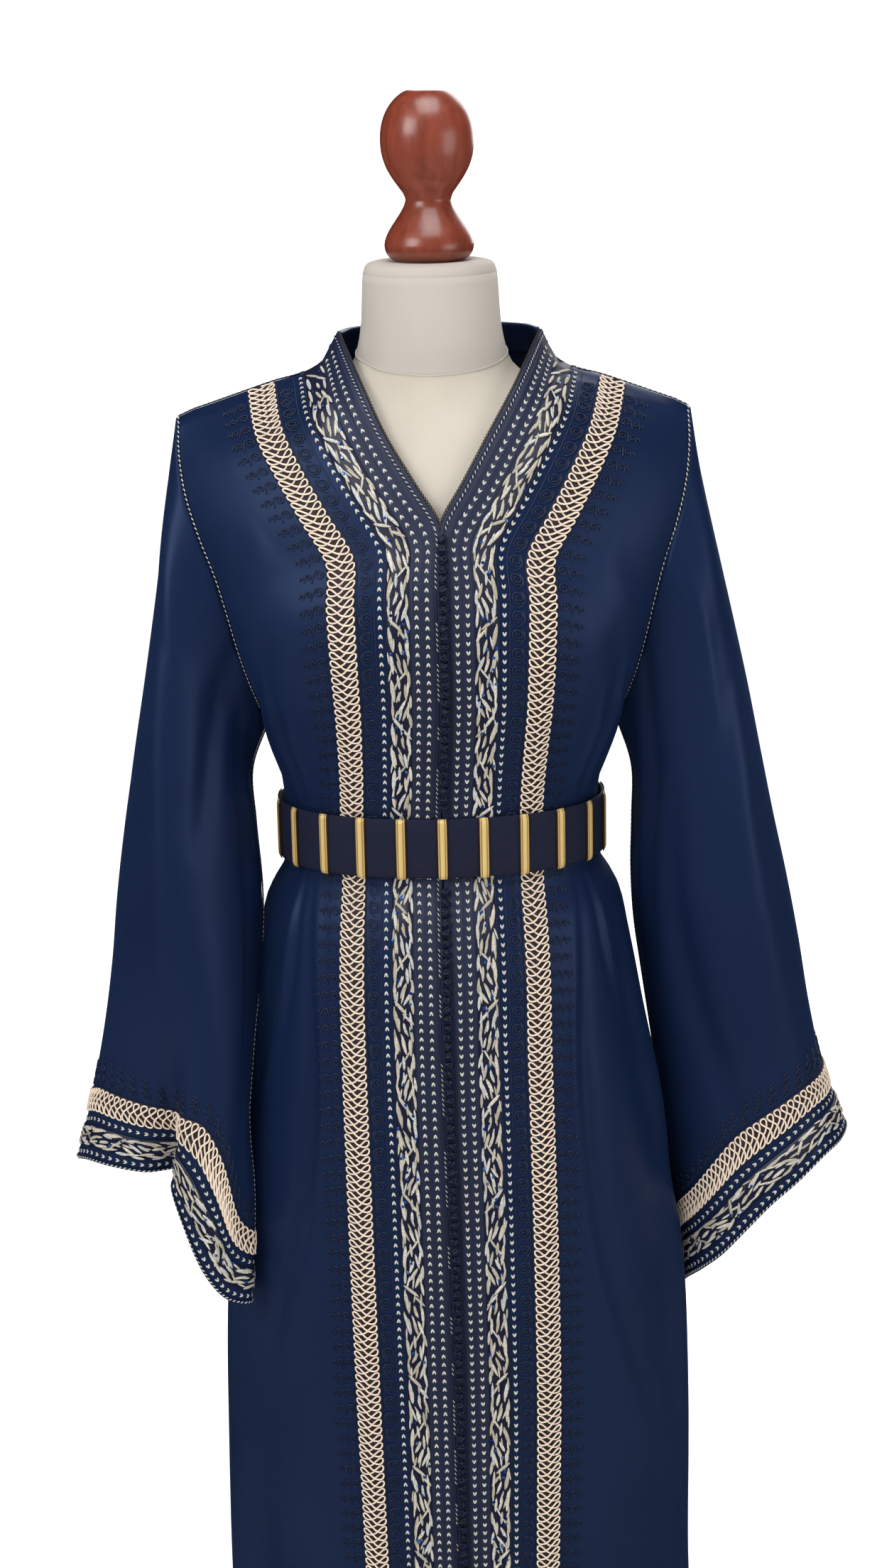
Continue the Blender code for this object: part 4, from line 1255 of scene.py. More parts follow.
@once
def leaf_thread():
    """Metallic thread, satin stitched: slanting stitches from silver to beige with painted shade between
    them, dark at each leaf's edge.
    """
    made, tree, shader = blank("metallic_thread_satin_stitched", Roughness=0.36, IOR=1.5, Metallic=0.1)
    uv = cloth_uv(tree)
    tone = add(tree, "ShaderNodeAttribute", attribute_name="tone")
    colour = ramp(
        tree, tone.outputs["Fac"],
        (0.0, "#b9b29c"), (0.25, colours().leaf_dark), (0.5, colours().leaf_light), (0.8, "#fbf8ef"),
        (1.0, "#cfdcf2"),
    )
    # Flecks where single threads catch the light, 0.5 mm across and drawn at 1.1 mm so that they show.
    place = object_place(tree)
    flecks = add(tree, "ShaderNodeTexNoise", {"Vector": place, "Scale": 1000 / 1.1, "Detail": 0.0})
    glint = ramp(tree, flecks.outputs["Fac"], (0.4, "#c4c0b6"), (0.52, "#f4f4f4"), (0.62, "#ffffff"))
    colour = blended(tree, 1.0, colour, glint, blend_type="MULTIPLY")
    # Stitches lie 0.4 mm apart and are drawn at 0.9 mm so that they show.
    stitches = add(
        tree, "ShaderNodeTexWave", {"Vector": uv, "Scale": WAVE / 0.085, "Distortion": 1.2, "Detail": 1.0},
        bands_direction="DIAGONAL",
    )
    parts = add(tree, "ShaderNodeSeparateXYZ", {"Vector": uv})
    aside = reckoned(tree, "ABSOLUTE", reckoned(tree, "SUBTRACT", parts.outputs["Y"], 0.5))
    rim = add(tree, "ShaderNodeMapRange", {"Value": aside, "From Min": 0.36, "From Max": 0.47})
    # Painted shade: the colour darkens between the stitches, following the same waves as the bump.
    shade = blended(tree, stitches.outputs["Fac"], linear("#b5afa0"), colour)
    dye(tree, shader, blended(tree, rim.outputs["Result"], shade, linear("#15161c")))
    emboss(tree, shader, stitches.outputs["Fac"], 0.4, 0.0004)
    return made


@once
def sequin():
    """PVC sequin, vacuum metallised and stamped: bright blue with a mirror gleam."""
    made, tree, shader = blank("pvc_sequin_metallised", Roughness=0.16, Metallic=0.75)
    place = object_place(tree)
    drift = add(tree, "ShaderNodeTexNoise", {"Vector": place, "Scale": 160.0, "Detail": 1.0})
    colour = ramp(tree, drift.outputs["Fac"], (0.35, "#16308f"), (0.5, colours().sequin), (0.68, "#8fb4f2"))
    dye(tree, shader, colour)
    return made


@once
def gold_bar():
    """Gilt thread wound over card, satin stitched lengthwise: warm gold ridges between brown edges, with
    painted highlights and painted shaded bands across each bar.
    """
    made, tree, shader = blank("gilt_thread_painted_light", Roughness=0.36, IOR=1.5, Metallic=0.25)
    uv = cloth_uv(tree)
    parts = add(tree, "ShaderNodeSeparateXYZ", {"Vector": uv})
    # Painted light: the paler bands (#e8cc86, #e0c078) are painted highlights and the darker bands (#8a6228)
    # are painted shade, across the bar.
    across = ramp(
        tree, parts.outputs["X"],
        (0.0, "#2c1c12"), (0.1, "#3a2417"), (0.16, colours().gold_bar), (0.28, "#8a6228"), (0.34, "#e8cc86"),
        (0.66, colours().gold_bar), (0.72, "#8a6228"), (0.84, "#e0c078"), (0.9, "#3a2417"), (1.0, "#2c1c12"),
    )
    dye(tree, shader, across)
    threads = add(
        tree, "ShaderNodeTexWave",
        {"Vector": uv, "Scale": WAVE / 0.07, "Distortion": 0.6, "Detail": 1.0, "Detail Scale": 4.0},
        bands_direction="X",
    )
    emboss(tree, shader, threads.outputs["Fac"], 0.35, 0.0003)
    return made


def jersey(name, colour, dark, **settings):
    """A knit stretched over the form: fine stitches and faint soiling."""
    made, tree, shader = blank(name, **settings)
    place = object_place(tree)
    soil = add(tree, "ShaderNodeTexNoise", {"Vector": place, "Scale": 9.0, "Detail": 4.0})
    dye(tree, shader, ramp(tree, soil.outputs["Fac"], (0.3, dark), (0.6, colour)))
    # Knit stitches are 0.5 mm wide and are drawn at 1.4 mm so that they show.
    knit = add(tree, "ShaderNodeTexVoronoi", {"Vector": place, "Scale": 1000 / 1.4})
    emboss(tree, shader, knit.outputs["Distance"], 0.12, 0.0003)
    return made, tree, shader


@once
def body_jersey():
    """Cotton jersey, knitted: ivory and matt."""
    made, tree, shader = jersey("cotton_jersey_knitted", colours().form, "#b5ad9f", Roughness=0.8, IOR=1.45)
    # Above the neck seam, which dips to the front, the greyer jersey of the neck goes on.
    place = object_place(tree)
    parts = add(tree, "ShaderNodeSeparateXYZ", {"Vector": place})
    dip = reckoned(tree, "MULTIPLY_ADD", parts.outputs["Y"], -NECK_TILT, parts.outputs["Z"])
    above = add(
        tree, "ShaderNodeMapRange",
        {"Value": dip, "From Min": (NECK_SEAM - 0.4) * MM, "From Max": (NECK_SEAM + 0.4) * MM},
    )
    below = shader.inputs["Base Color"].links[0].from_socket
    dye(tree, shader, blended(tree, above.outputs["Result"], below, linear("#afa8a0")))
    return made


@once
def cap_jersey():
    """Cotton jersey on the neck, knitted: greyer with handling."""
    return jersey("cotton_jersey_neck_knitted", colours().neck, "#aba39b", Roughness=0.78, IOR=1.45)[0]


@once
def turned_wood():
    """Beech, turned, stained mahogany and lacquered: red-brown with a soft gloss and a faint long grain."""
    made, tree, shader = blank("beech_turned_lacquered", Roughness=0.34, IOR=1.5)
    shader.inputs["Coat Weight"].default_value = 0.35
    shader.inputs["Coat Roughness"].default_value = 0.22
    place = object_place(tree)
    laid = add(tree, "ShaderNodeMapping", {"Vector": place, "Scale": (1.0, 1.0, 0.09)})
    grain = add(
        tree, "ShaderNodeTexNoise",
        {"Vector": laid.outputs["Vector"], "Scale": 1000 / 7, "Detail": 4.0, "Roughness": 0.6},
    )
    colour = ramp(tree, grain.outputs["Fac"], (0.3, "#6b2e1c"), (0.5, colours().wood), (0.75, "#85412a"))
    dye(tree, shader, colour)
    emboss(tree, shader, grain.outputs["Fac"], 0.05, 0.0003)
    return made


@once
def pole_steel():
    """Steel tube, drawn and brushed: satin grey with fine rings."""
    made, tree, shader = blank("steel_tube_brushed", Roughness=0.3, Metallic=1.0)
    place = object_place(tree)
    laid = add(tree, "ShaderNodeMapping", {"Vector": place, "Scale": (1.0, 1.0, 40.0)})
    scratch = add(
        tree, "ShaderNodeTexNoise", {"Vector": laid.outputs["Vector"], "Scale": 30.0, "Detail": 3.0}
    )
    colour = ramp(tree, scratch.outputs["Fac"], (0.3, "#8e9094"), (0.7, "#b9babd"))
    dye(tree, shader, colour)
    return made


FINISHES = {
    "satin": crepe_satin,
    "band": band_cloth,
    "leaf_ground": leaf_ground,
    "braid_ground": braid_ground,
    "belt": belt_cloth,
    "gold_cord": gold_cord,
    "tonal_cord": tonal_cord,
    "knot": knot_cord,
    "edging": edging,
    "white": white_thread,
    "leaf": leaf_thread,
    "sequin": sequin,
    "bar": gold_bar,
    "jersey": body_jersey,
    "neck": cap_jersey,
    "wood": turned_wood,
    "steel": pole_steel,
}


# Sizes and colours that a user would change


def length(name, about, default):
    return FloatProperty(name=name, description=about, default=default, min=0.0, unit="LENGTH", precision=5)


def hex_colour(name, about, default):
    return StringProperty(name=name, description=about, default=default)


class KaftanSizes(bpy.types.PropertyGroup):
    arrow_pitch: length("Arrow pitch", "From one arrow stitch to the next", 0.0079)
    loop_pitch: length("Loop pitch", "From one loop of the gold braid to the next", 0.0075)
    scroll_pitch: length("Scroll pitch", "From one single scroll to the next", 0.0156)
    spray_pitch: length("Spray pitch", "From one spray of three curls to the next", 0.0147)
    leaf_repeat: length("Leaf repeat", "Length of the leaf pattern's repeat", 0.084)
    rope_pitch: length("Rope pitch", "From one stitch of the rope edging to the next", 0.0044)
    button_pitch: length("Button pitch", "From one knotted button to the next", 0.0081)
    gold_cord: length("Gold cord", "Thickness of the looped cord", 0.0016)
    tonal_cord: length("Navy cord", "Thickness of the scrolls' cord", 0.0013)


class KaftanColours(bpy.types.PropertyGroup):
    satin: hex_colour("Satin", "Colour of the dress", "#14213f")
    satin_deep: hex_colour("Satin, deep", "Colour of the dress where its dye is deepest", "#101d3a")
    sheen: hex_colour("Sheen", "Colour of the satin's lustre", "#4f86d8")
    band: hex_colour("Bands", "Colour of the front bands and the collar", "#15203f")
    gold_cord: hex_colour("Gold cord", "Colour of the looped cord", "#f1e3d3")
    tonal_cord: hex_colour("Navy cord", "Colour of the scrolls", "#182747")
    knot: hex_colour("Buttons", "Colour of the knotted buttons", "#101a3c")
    white_thread: hex_colour("White thread", "Colour of the arrow stitches and rope edging", "#e9e6dc")
    leaf_dark: hex_colour("Leaf, dark", "Darker thread of the leaves", "#c2bba9")
    leaf_light: hex_colour("Leaf, light", "Lighter thread of the leaves", "#e8e3d7")
    sequin: hex_colour("Sequins", "Colour of the sequins", "#2f6fd6")
    belt: hex_colour("Belt", "Colour of the belt's cloth", "#121835")
    gold_bar: hex_colour("Bars", "Colour of the belt's bars", "#dcbd7c")
    form: hex_colour("Form", "Colour of the form's jersey", "#c0b8ab")
    neck: hex_colour("Neck", "Colour of the neck's jersey", "#b4aca4")
    wood: hex_colour("Wood", "Colour of the turned wood", "#7a3626")


def sizes():
    return bpy.context.scene.kaftan_sizes


class Band:
    """A band of a sheet, up it at a distance or round it at a height. Places are across and along it."""

    def __init__(self, cloth, middle, low=None, high=None):
        self.cloth, self.rounded = cloth, low is None
        if self.rounded:
            self.knots, self.run = cloth.run_round(middle)
        else:
            self.knots, self.run = cloth.run_up(middle, low, high)
        self.length = self.run[-1]

    def at(self, across, along, rise=0.0):
        """Points that stand off the sheet by rise, with the ways out and ahead."""
        along = along % self.length if self.rounded else np.clip(along, 0, self.length)
        go = np.interp(along, self.run, self.knots)
        across = across(go) if callable(across) else across
        if self.rounded:
            points, out, _, ahead = self.cloth.look(across, go)
        else:
            points, out, ahead, _ = self.cloth.look(go, across)
        return points + out * np.asarray(rise)[..., None], out, ahead

    def steps(self, pitch):
        """Whole repeats of about a pitch: their number and exact pitch."""
        count = max(1, round(self.length / pitch))
        return count, self.length / count


# Rows of arrow stitches on the fronts: how far each is from the front edge at heights up the front.
ARROW_ROWS = (
    ((25, 12.4), (1290, 12.4), (1330, 14.2), (1452, 14.0)),
    ((25, 21.4), (1290, 21.4), (1330, 22.8), (1452, 22.4)),
    ((25, 51.5), (1290, 51.0), (1330, 49.4), (1452, 49.4)),
)
CUFF_ARROWS = (7.5, 38.5)
LEAF_TOP, BRAID_TOP = 1.1, 0.8      # how far each band's face stands off the cloth

# Places on the bands, from the front edge or the cuff's edge.
PLACKET = (0.3, 26.8)
LEAF_GROUND, CUFF_LEAF_GROUND = (27.2, 45.8), (13.2, 32.8)
BRAID_GROUND, CUFF_BRAID_GROUND = (70.8, 93.2), (45.2, 67.8)
LEAF_MIDDLE, CUFF_LEAF_MIDDLE = 36.5, 23.0
BRAID_MIDDLE, CUFF_BRAID_MIDDLE = 82.0, 56.5
LOOP_HALF, CUFF_LOOP_HALF = 10.9, 10.4      # half the width of the gold cord's loops
LOOP_RISE = BRAID_TOP + 0.9      # how far the gold cord's axis stands off the cloth
SCROLL_MIDDLE = 62.0
SPRAY_EDGE, CUFF_SPRAY_EDGE = 94.2, 69.5      # where the sprays start
SPRAY_MIDDLE, CUFF_SPRAY_MIDDLE = 104.0, 80.0
NAVY_RISE = 0.45      # how far the axis of the scrolls' cord stands off the cloth
ROPE_PLACE = 4.4      # where the rope edging runs on the placket
THIN_CORD = 0.55      # radius of the fine cords and of the chain
NECK_OPEN = 1303      # the fronts' edges part above this height

# Fine cords couched up the fronts: how far from the front edge, and how far off the cloth.
FINE_CORDS = ((8.4, 1.5), (16.9, 1.6), (26.9, 0.9), (46.4, 0.6), (55.4, 0.3), (70.0, 0.4), (94.2, 0.4))

# One repeat of the leaf pattern: each leaf's middle across and along the band, its length, width and turn.
LEAVES = (
    (-2.3, -3.8, 15.5, 3.8, 62),
    (4.4, -14.0, 13.0, 3.6, 55),
    (-6.3, -14.5, 19.0, 4.4, 14),
    (-6.4, -35.0, 18.5, 4.2, 9),
    (7.7, -2.0, 13.0, 3.6, 10),
    (1.2, -21.8, 10.5, 3.4, 11),
    (6.9, -26.0, 15.0, 3.5, 11),
    (4.9, -38.5, 14.0, 3.7, 20),
    (0.2, -38.0, 13.0, 3.6, 28),
    (8.0, -50.0, 13.0, 3.4, 8),
    (-1.0, -51.5, 12.0, 3.6, 10),
    (-6.3, -57.5, 19.0, 4.5, -7),
    (4.2, -61.0, 13.5, 3.6, 10),
    (-1.6, -66.0, 11.0, 3.6, -34),
    (0.6, -73.5, 14.0, 3.9, -36),
    (4.8, -78.0, 16.0, 3.7, -33),
    (-6.7, -76.0, 12.5, 3.4, 8),
    (8.1, -70.0, 12.0, 3.3, 4),
)


def arrow_lot(band, across, rise, point):
    """Arrow stitches along a band: two short slanting stitches each, meeting where the arrow points."""
    count, pitch = band.steps(sizes().arrow_pitch / MM)
    along = (np.arange(count) + 0.5) * pitch
    shape = seed_shape(4, 4, point=1.3)
    lots = []
    for side in (-1, 1):
        places, out, ahead = band.at(across, along, rise)
        beside = unit(np.cross(ahead, out))
        lots.append(
            stamped(shape, places + beside * side * 0.74, out, ahead, (1.75, 4.3, 2.0), -side * point * 0.36)
        )
    return lots


def resampled(points, outs, pitch):
    """Points and ways out along a line at a pitch."""
    run = np.concatenate([[0], np.cumsum(np.linalg.norm(np.diff(points, axis=0), axis=1))])
    at = np.linspace(0, run[-1], max(3, int(run[-1] / pitch) + 1))
    found = [np.stack([np.interp(at, run, line[:, k]) for k in range(3)], axis=1) for line in (points, outs)]
    return found[0], unit(found[1])


def rope_lots(points, outs, radius=0.75, worn=0.0):
    """Rope edging along a line: a navy core, and white stitches slanting over it, some worn away."""
    core, out = resampled(np.asarray(points), np.asarray(outs), 4.0)
    core_lot = tubes([core], [out], radius, 4)
    spots, out = resampled(np.asarray(points), np.asarray(outs), sizes().rope_pitch / MM)
    ahead = unit(np.gradient(spots, axis=0))
    chance = np.random.default_rng(5)
    knots = np.arange(0, len(spots) + 4, 4)
    left = np.interp(np.arange(len(spots)), knots, chance.random(len(knots))) >= worn
    place = (spots + out * radius * 0.6)[left]
    size = (radius * 2, 3.5, 1.6)
    return core_lot, stamped(seed_shape(4, 4), place, out[left], ahead[left], size, 0.5)


def keep(lots, name, finish, tones=None):
    points, faces, uvs = gathered(lots)
    return from_arrays(name, points, faces, uvs, finish, tones)


def looped_lot(band, middle, half, rise):
    """One cord that loops from side to side of a band and crosses itself in the middle."""
    count, pitch = band.steps(sizes().loop_pitch / MM)
    turn = np.linspace(0, math.tau * count, 18 * count + 1)
    if band.rounded:
        turn = turn[:-1]
    along = pitch * turn / math.tau + 0.5 * pitch * np.sin(2 * turn)
    # The loops lean: their ends lie further on than the middle of the band.
    along = along + 0.5 * half * np.sqrt(np.sin(turn) ** 2 + 0.04)
    lift = rise + 0.45 * np.cos(turn)
    points, out, _ = band.at(middle + half * np.sin(turn), along, lift)
    return tubes([points], [out], sizes().gold_cord / MM / 2, 6, closed=band.rounded)


def curl(turns, inner, outer, start, steps, hand=1):
    """A spiral about the origin from inner to outer, as (across, along) places."""
    t = np.linspace(0, 1, steps)
    angle = start + hand * turns * math.tau * t
    radius = inner + (outer - inner) * t ** 0.85
    return np.stack([radius * np.cos(angle), radius * np.sin(angle)], axis=1)


def curl_lot(band, shape, across, rise, pitch, shift=0.0):
    """A curl of cord at every pitch along a band."""
    count, pitch = band.steps(pitch)
    start = (np.arange(count) + 0.5) * pitch
    along = shape[None, :, 1] + start[:, None] + shift
    points, out, _ = band.at(across + np.broadcast_to(shape[None, :, 0], along.shape), along, rise)
    return tubes(points, out, sizes().tonal_cord / MM / 2, 4)


def scroll_lots(band, middle, rise):
    """The single row of scrolls: each a spiral whose tail runs on to the next."""
    big = curl(2.0, 1.3, 6.0, math.radians(60), 26)
    tail = np.array([(5.6, -1.5), (4.6, -4.6), (2.2, -7.0), (-0.6, -8.6)])
    return [curl_lot(band, np.concatenate([big, tail]), middle, rise, sizes().scroll_pitch / MM)]


def spray_lots(band, inner_edge, rise):
    """Sprays of three curls, large to small, that point away from the gold braid."""
    pitch = sizes().spray_pitch / MM
    lots = []
    for place, turns, size, drop in ((5.7, 1.6, 4.5, 0.0), (14.2, 1.3, 3.0, 0.6), (20.0, 0.9, 1.5, 1.0)):
        tail = size * np.array([(1.12, -0.5), (1.3, -0.95), (1.36, -1.4)])
        spiral = curl(turns, size * 0.18, size, turns * math.tau, int(11 * turns) + 2, -1)
        lots.append(curl_lot(band, np.concatenate([spiral, tail]), inner_edge + place, rise, pitch, -drop))
    return lots


def leaf_lots(band, middle, rise, seed, hand=1):
    """Leaves of a band and the sequins between them, with a tone for each leaf's points."""
    chance = np.random.default_rng(seed)
    count, pitch = band.steps(sizes().leaf_repeat / MM)
    stretch = pitch / (sizes().leaf_repeat / MM)
    # Under the leaves lies a second, finer layer of the same repeat, turned about and half a repeat on.
    rows = np.array(LEAVES) * (1, 1, 1, 1, 0.7)
    under = np.array(LEAVES) * (-1, 1, 0.85, 0.64, -0.5) - (0, sizes().leaf_repeat / MM / 2, 0, 0, 0)
    rows = np.concatenate([rows, under])
    across = np.tile(-rows[:, 0], count) + chance.normal(0, 0.3, count * len(rows))
    along = np.concatenate([rows[:, 1] * stretch + (k + 1) * pitch for k in range(count)])
    along = along + chance.normal(0, 0.6, len(along))
    long = np.tile(rows[:, 2], count) * chance.uniform(1.0, 1.16, len(along))
    wide = np.tile(rows[:, 3], count) * chance.uniform(0.8, 1.02, len(along))
    turn = hand * np.radians(np.tile(rows[:, 4], count) + chance.normal(0, 5, len(along)))
    lift = rise + chance.uniform(0.0, 0.5, len(along))
    places, out, ahead = band.at(middle + across, along, lift)
    shape = seed_shape(6, 6, point=1.45)
    lot = stamped(shape, places, out, ahead, np.stack([wide, long, np.full(len(long), 1.7)], axis=1), turn)
    tones = np.repeat(chance.uniform(0, 1, len(along)), len(shape[0]))
    spots = int(band.length / 17)
    s_at, a_at = chance.uniform(-8.5, 8.5, spots), chance.uniform(0, band.length, spots)
    places, out, ahead = band.at(middle + s_at, a_at, rise + 0.9)
    turns = chance.uniform(0, 3, spots)
    discs = stamped(seed_shape(8, 4, flat=0.3), places, out, ahead, (2.9, 2.9, 1.2), turns)
    return lot, tones, discs


# Pieces


class KAFTAN_OT_dress(bpy.types.Operator):
    """Makes both fronts and the back as thin satin shells"""

    bl_idname = "kaftan.dress"
    bl_label = "Fronts and back"

    def execute(self, context):
        sheets = shapes()
        for name, flat, area in (
            ("front_left", (0.36, 1.48), 0.40),
            ("front_right", (0.36, 1.48), 0.40),
            ("back", (0.74, 1.46), 0.76),
        ):
            cloth = sheets[name]
            made = cloth_piece(
                f"cloth_{name}", cloth, (cloth.v[0], cloth.v[-1]), (cloth.s[0], cloth.s[-1]), "satin",
                "navy_satin", fine=(12, 4.2) if name == "back" else (11, 3.2),
            )
            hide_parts(name)
        return {"FINISHED"}


class KAFTAN_OT_sleeves(bpy.types.Operator):
    """Makes both wide sleeves as thin satin shells, open at the armhole and the cuff"""

    bl_idname = "kaftan.sleeves"
    bl_label = "Sleeves"

    def execute(self, context):
        for name in ("left", "right"):
            cloth = shapes()[f"sleeve_{name}"]
            made = cloth_piece(
                f"cloth_sleeve_{name}", cloth, (cloth.v[0], cloth.v[-1]), (0, cloth.period), "satin",
                "navy_satin",
            )
            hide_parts(f"sleeve_{name}")
        return {"FINISHED"}


# The face of a front's edge band across it: how far from the front edge, and how far off the cloth.
PLACKET_FACE = (
    (0.3, 1.0), (0.9, 1.7), (3.2, 1.9), (4.0, 1.4), (6.0, 1.4), (6.8, 1.8), (10.0, 1.8), (10.8, 1.3),
    (14.2, 1.3), (15.0, 1.7), (18.8, 1.7), (19.6, 1.3), (23.4, 1.3), (24.2, 1.7), (26.2, 1.7), (26.8, 1.2),
)


class KAFTAN_OT_bands(bpy.types.Operator):
    """Makes the bands sewn down the fronts and round the cuffs, without their embroidery"""

    bl_idname = "kaftan.bands"
    bl_label = "Front and cuff bands"

    def execute(self, context):
        leaves = ("leaf_ground", "leaf_band", LEAF_TOP, 0.7)
        braid = ("braid_ground", "gold_braid", BRAID_TOP, 0.4)
        for name in ("left", "right"):
            cloth, sleeve = shapes()[f"front_{name}"], shapes()[f"sleeve_{name}"]
            v, whole = (cloth.v[0] + 0.2, cloth.v[-1] - 0.2), (0, sleeve.period)
            placket = cloth_piece(
                f"placket_band_{name}", cloth, v, PLACKET, "band", "navy_band", thick=0.9,
                profile=PLACKET_FACE,
            )
            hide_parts(f"placket_{name}")
            for piece, node, under, place, look, cell, flat in (
                ("leaf_ground", "leaf_band", "front", (v, LEAF_GROUND), leaves, 6, (0.019, 1.46)),
                ("braid_ground", "braid", "front", (v, BRAID_GROUND), braid, 6, (0.023, 1.45)),
                (
                    "cuff_leaf_ground", "cuff_leaf", "sleeve", (CUFF_LEAF_GROUND, whole), leaves, 5,
                    (0.68, 0.02),
                ),
                (
                    "cuff_braid_ground", "cuff_braid", "sleeve", (CUFF_BRAID_GROUND, whole), braid, 5,
                    (0.66, 0.023),
                ),
            ):
                sheet = shapes()[f"{under}_{name}"]
                made = cloth_piece(f"{piece}_{name}", sheet, *place, *look, (cell, cell))
                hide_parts(f"{node}_{name}")
        return {"FINISHED"}


def collar_sheet():
    """The band round the back of the neck, with v up it and s round it from the left."""
    back = shapes()["grids"]["back"][0]
    neck = len(back[0]) // 2
    seam = back[-1][neck - NECK_CELLS:neck + NECK_CELLS + 1]
    centre = (seam[0] + seam[-1]) / 2
    shrink = (SHOULDER[0][0] - 1.0) / (seam[0] - centre).length
    low, high = [], []
    for point in seam:
        out = Vector((point.x - centre.x, point.y - centre.y, 0))
        low.append(point + Vector((0, 0, -1.6)))
        high.append(Vector((centre.x + out.x * shrink, centre.y + out.y * 0.97, SHOULDER[0][2])))
    for line in (low, high):
        line[0].y += SEAM_GAP
        line[-1].y += SEAM_GAP
    tall = SHOULDER[0][2] - seam[0].z + 1.6
    grid = [low, [a.lerp(b, 0.5) for a, b in zip(low, high)], high]
    wide = line_length(seam)
    knots = [wide * k / (len(seam) - 1) for k in range(len(seam))]
    return Cloth(grid, (0, tall / 2, tall), knots, 1), tall, wide


class KAFTAN_OT_collar(bpy.types.Operator):
    """Makes the band that stands round the back of the neck, without its rows of stitches"""

    bl_idname = "kaftan.collar"
    bl_label = "Collar"

    def execute(self, context):
        sheet, tall, wide = collar_sheet()
        made = cloth_piece(
            "neck_band", sheet, (0, tall), (0.3, wide - 0.3), "satin", "navy_band", TRIM, 3.4, fine=(2.5, 4.0)
        )
        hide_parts("collar")
        return {"FINISHED"}


def chain_lot(cloth, low, high):
    """A chain of small rings whipped over a front's edge."""
    band = Band(cloth, 0.0, low, high)
    count, pitch = band.steps(3.0)
    points, out, ahead = band.at(0.0, (np.arange(count) + 0.5) * pitch, 0.9)
    beside = unit(np.cross(ahead, out)) * (1 if cloth.outward < 0 else -1)
    turn = np.arange(10) / 10 * math.tau
    ring = ahead[:, None] * np.cos(turn)[:, None] * 1.15 + beside[:, None] * np.sin(turn)[:, None] * 1.15
    rings = (points + beside * 0.1)[:, None] + ring
    return tubes(rings, np.repeat(out[:, None], 10, axis=1), THIN_CORD, 4, closed=True)


class KAFTAN_OT_edging(bpy.types.Operator):
    """Whips the chain along the neck opening and couches the fine dark cords beside the stitches"""

    bl_idname = "kaftan.edging"
    bl_label = "Chain edging and fine cords"

    def execute(self, context):
        chains, cords = [], []
        for name in ("left", "right"):
            cloth = shapes()[f"front_{name}"]
            chains.append(chain_lot(cloth, NECK_OPEN, cloth.v[-1] - 1))
            for middle, rise in FINE_CORDS:
                band = Band(cloth, middle, cloth.v[0] + 2, cloth.v[-1] - 2)
                points, out, _ = band.at(middle, np.arange(0, band.length, 3.0), rise)
                cords.append(tubes([points], [out], THIN_CORD, 4))
        keep(chains, "chain_edging", "edging")
        keep(cords, "fine_cords", "tonal_cord")
        return {"FINISHED"}


class KAFTAN_OT_stitching(bpy.types.Operator):
    """Sews the rows of arrow stitches and the rope edging on seams and edges"""

    bl_idname = "kaftan.stitching"
    bl_label = "Arrow stitches and rope edging"

    def execute(self, context):
        arrows, cores, whites = [], [], []
        for name, point in (("left", 1), ("right", -1)):
            cloth = shapes()[f"front_{name}"]
            for row, rise in zip(ARROW_ROWS, (1.5, 1.5, 0.5)):
                v, s = zip(*row)
                band = Band(cloth, (v, s), cloth.v[0] + 3, cloth.v[-1] - 2)
                arrows += arrow_lot(band, lambda go, v=v, s=s: np.interp(go, v, s), rise, point)
            low = NECK_OPEN if name == "left" else cloth.v[0] + 3
            band = Band(cloth, ROPE_PLACE, low, cloth.v[-1] - 1)
            points, out, _ = band.at(ROPE_PLACE, np.arange(0, band.length, 2.0), 1.9)
            neck = points[:, 2] > NECK_OPEN
            for part, worn in ((neck, 0.0), (~neck, 0.45)):
                if part.any():
                    core, white = rope_lots(points[part], out[part], 0.5, worn)
                    cores.append(core)
                    whites.append(white)
            sleeve = shapes()[f"sleeve_{name}"]
            for height in CUFF_ARROWS:
                arrows += arrow_lot(Band(sleeve, height), height, 0.45, point)
            for points, out in seam_lines(name):
                core, white = rope_lots(points, out)
                cores.append(core)
                whites.append(white)
        sheet, tall, wide = collar_sheet()
        s = np.linspace(0.5, wide - 0.5, 160)
        for height, kind in ((tall - 12.2, "arrow"), (tall - 4.4, "rope")):
            points, out, _, _ = sheet.look(np.full_like(s, max(height, 1.0)), s)
            points = points + out * (TRIM + 0.3)
            if kind == "rope":
                core, white = rope_lots(points, out, 0.6)
                cores.append(core)
                whites.append(white)
            else:
                spots, outs = resampled(points, out, sizes().arrow_pitch / MM)
                ahead = unit(np.gradient(spots, axis=0))
                beside = unit(np.cross(ahead, outs))
                stitch = seed_shape(4, 4, point=1.3)
                for hand in (-1, 1):
                    places = spots + beside * hand * 0.78
                    arrows.append(stamped(stitch, places, outs, ahead, (2.0, 4.4, 2.2), -hand * 0.42))
        keep(arrows, "arrow_stitches", "white")
        keep(whites, "rope_stitches", "white")
        keep(cores, "rope_cores", "tonal_cord")
        return {"FINISHED"}


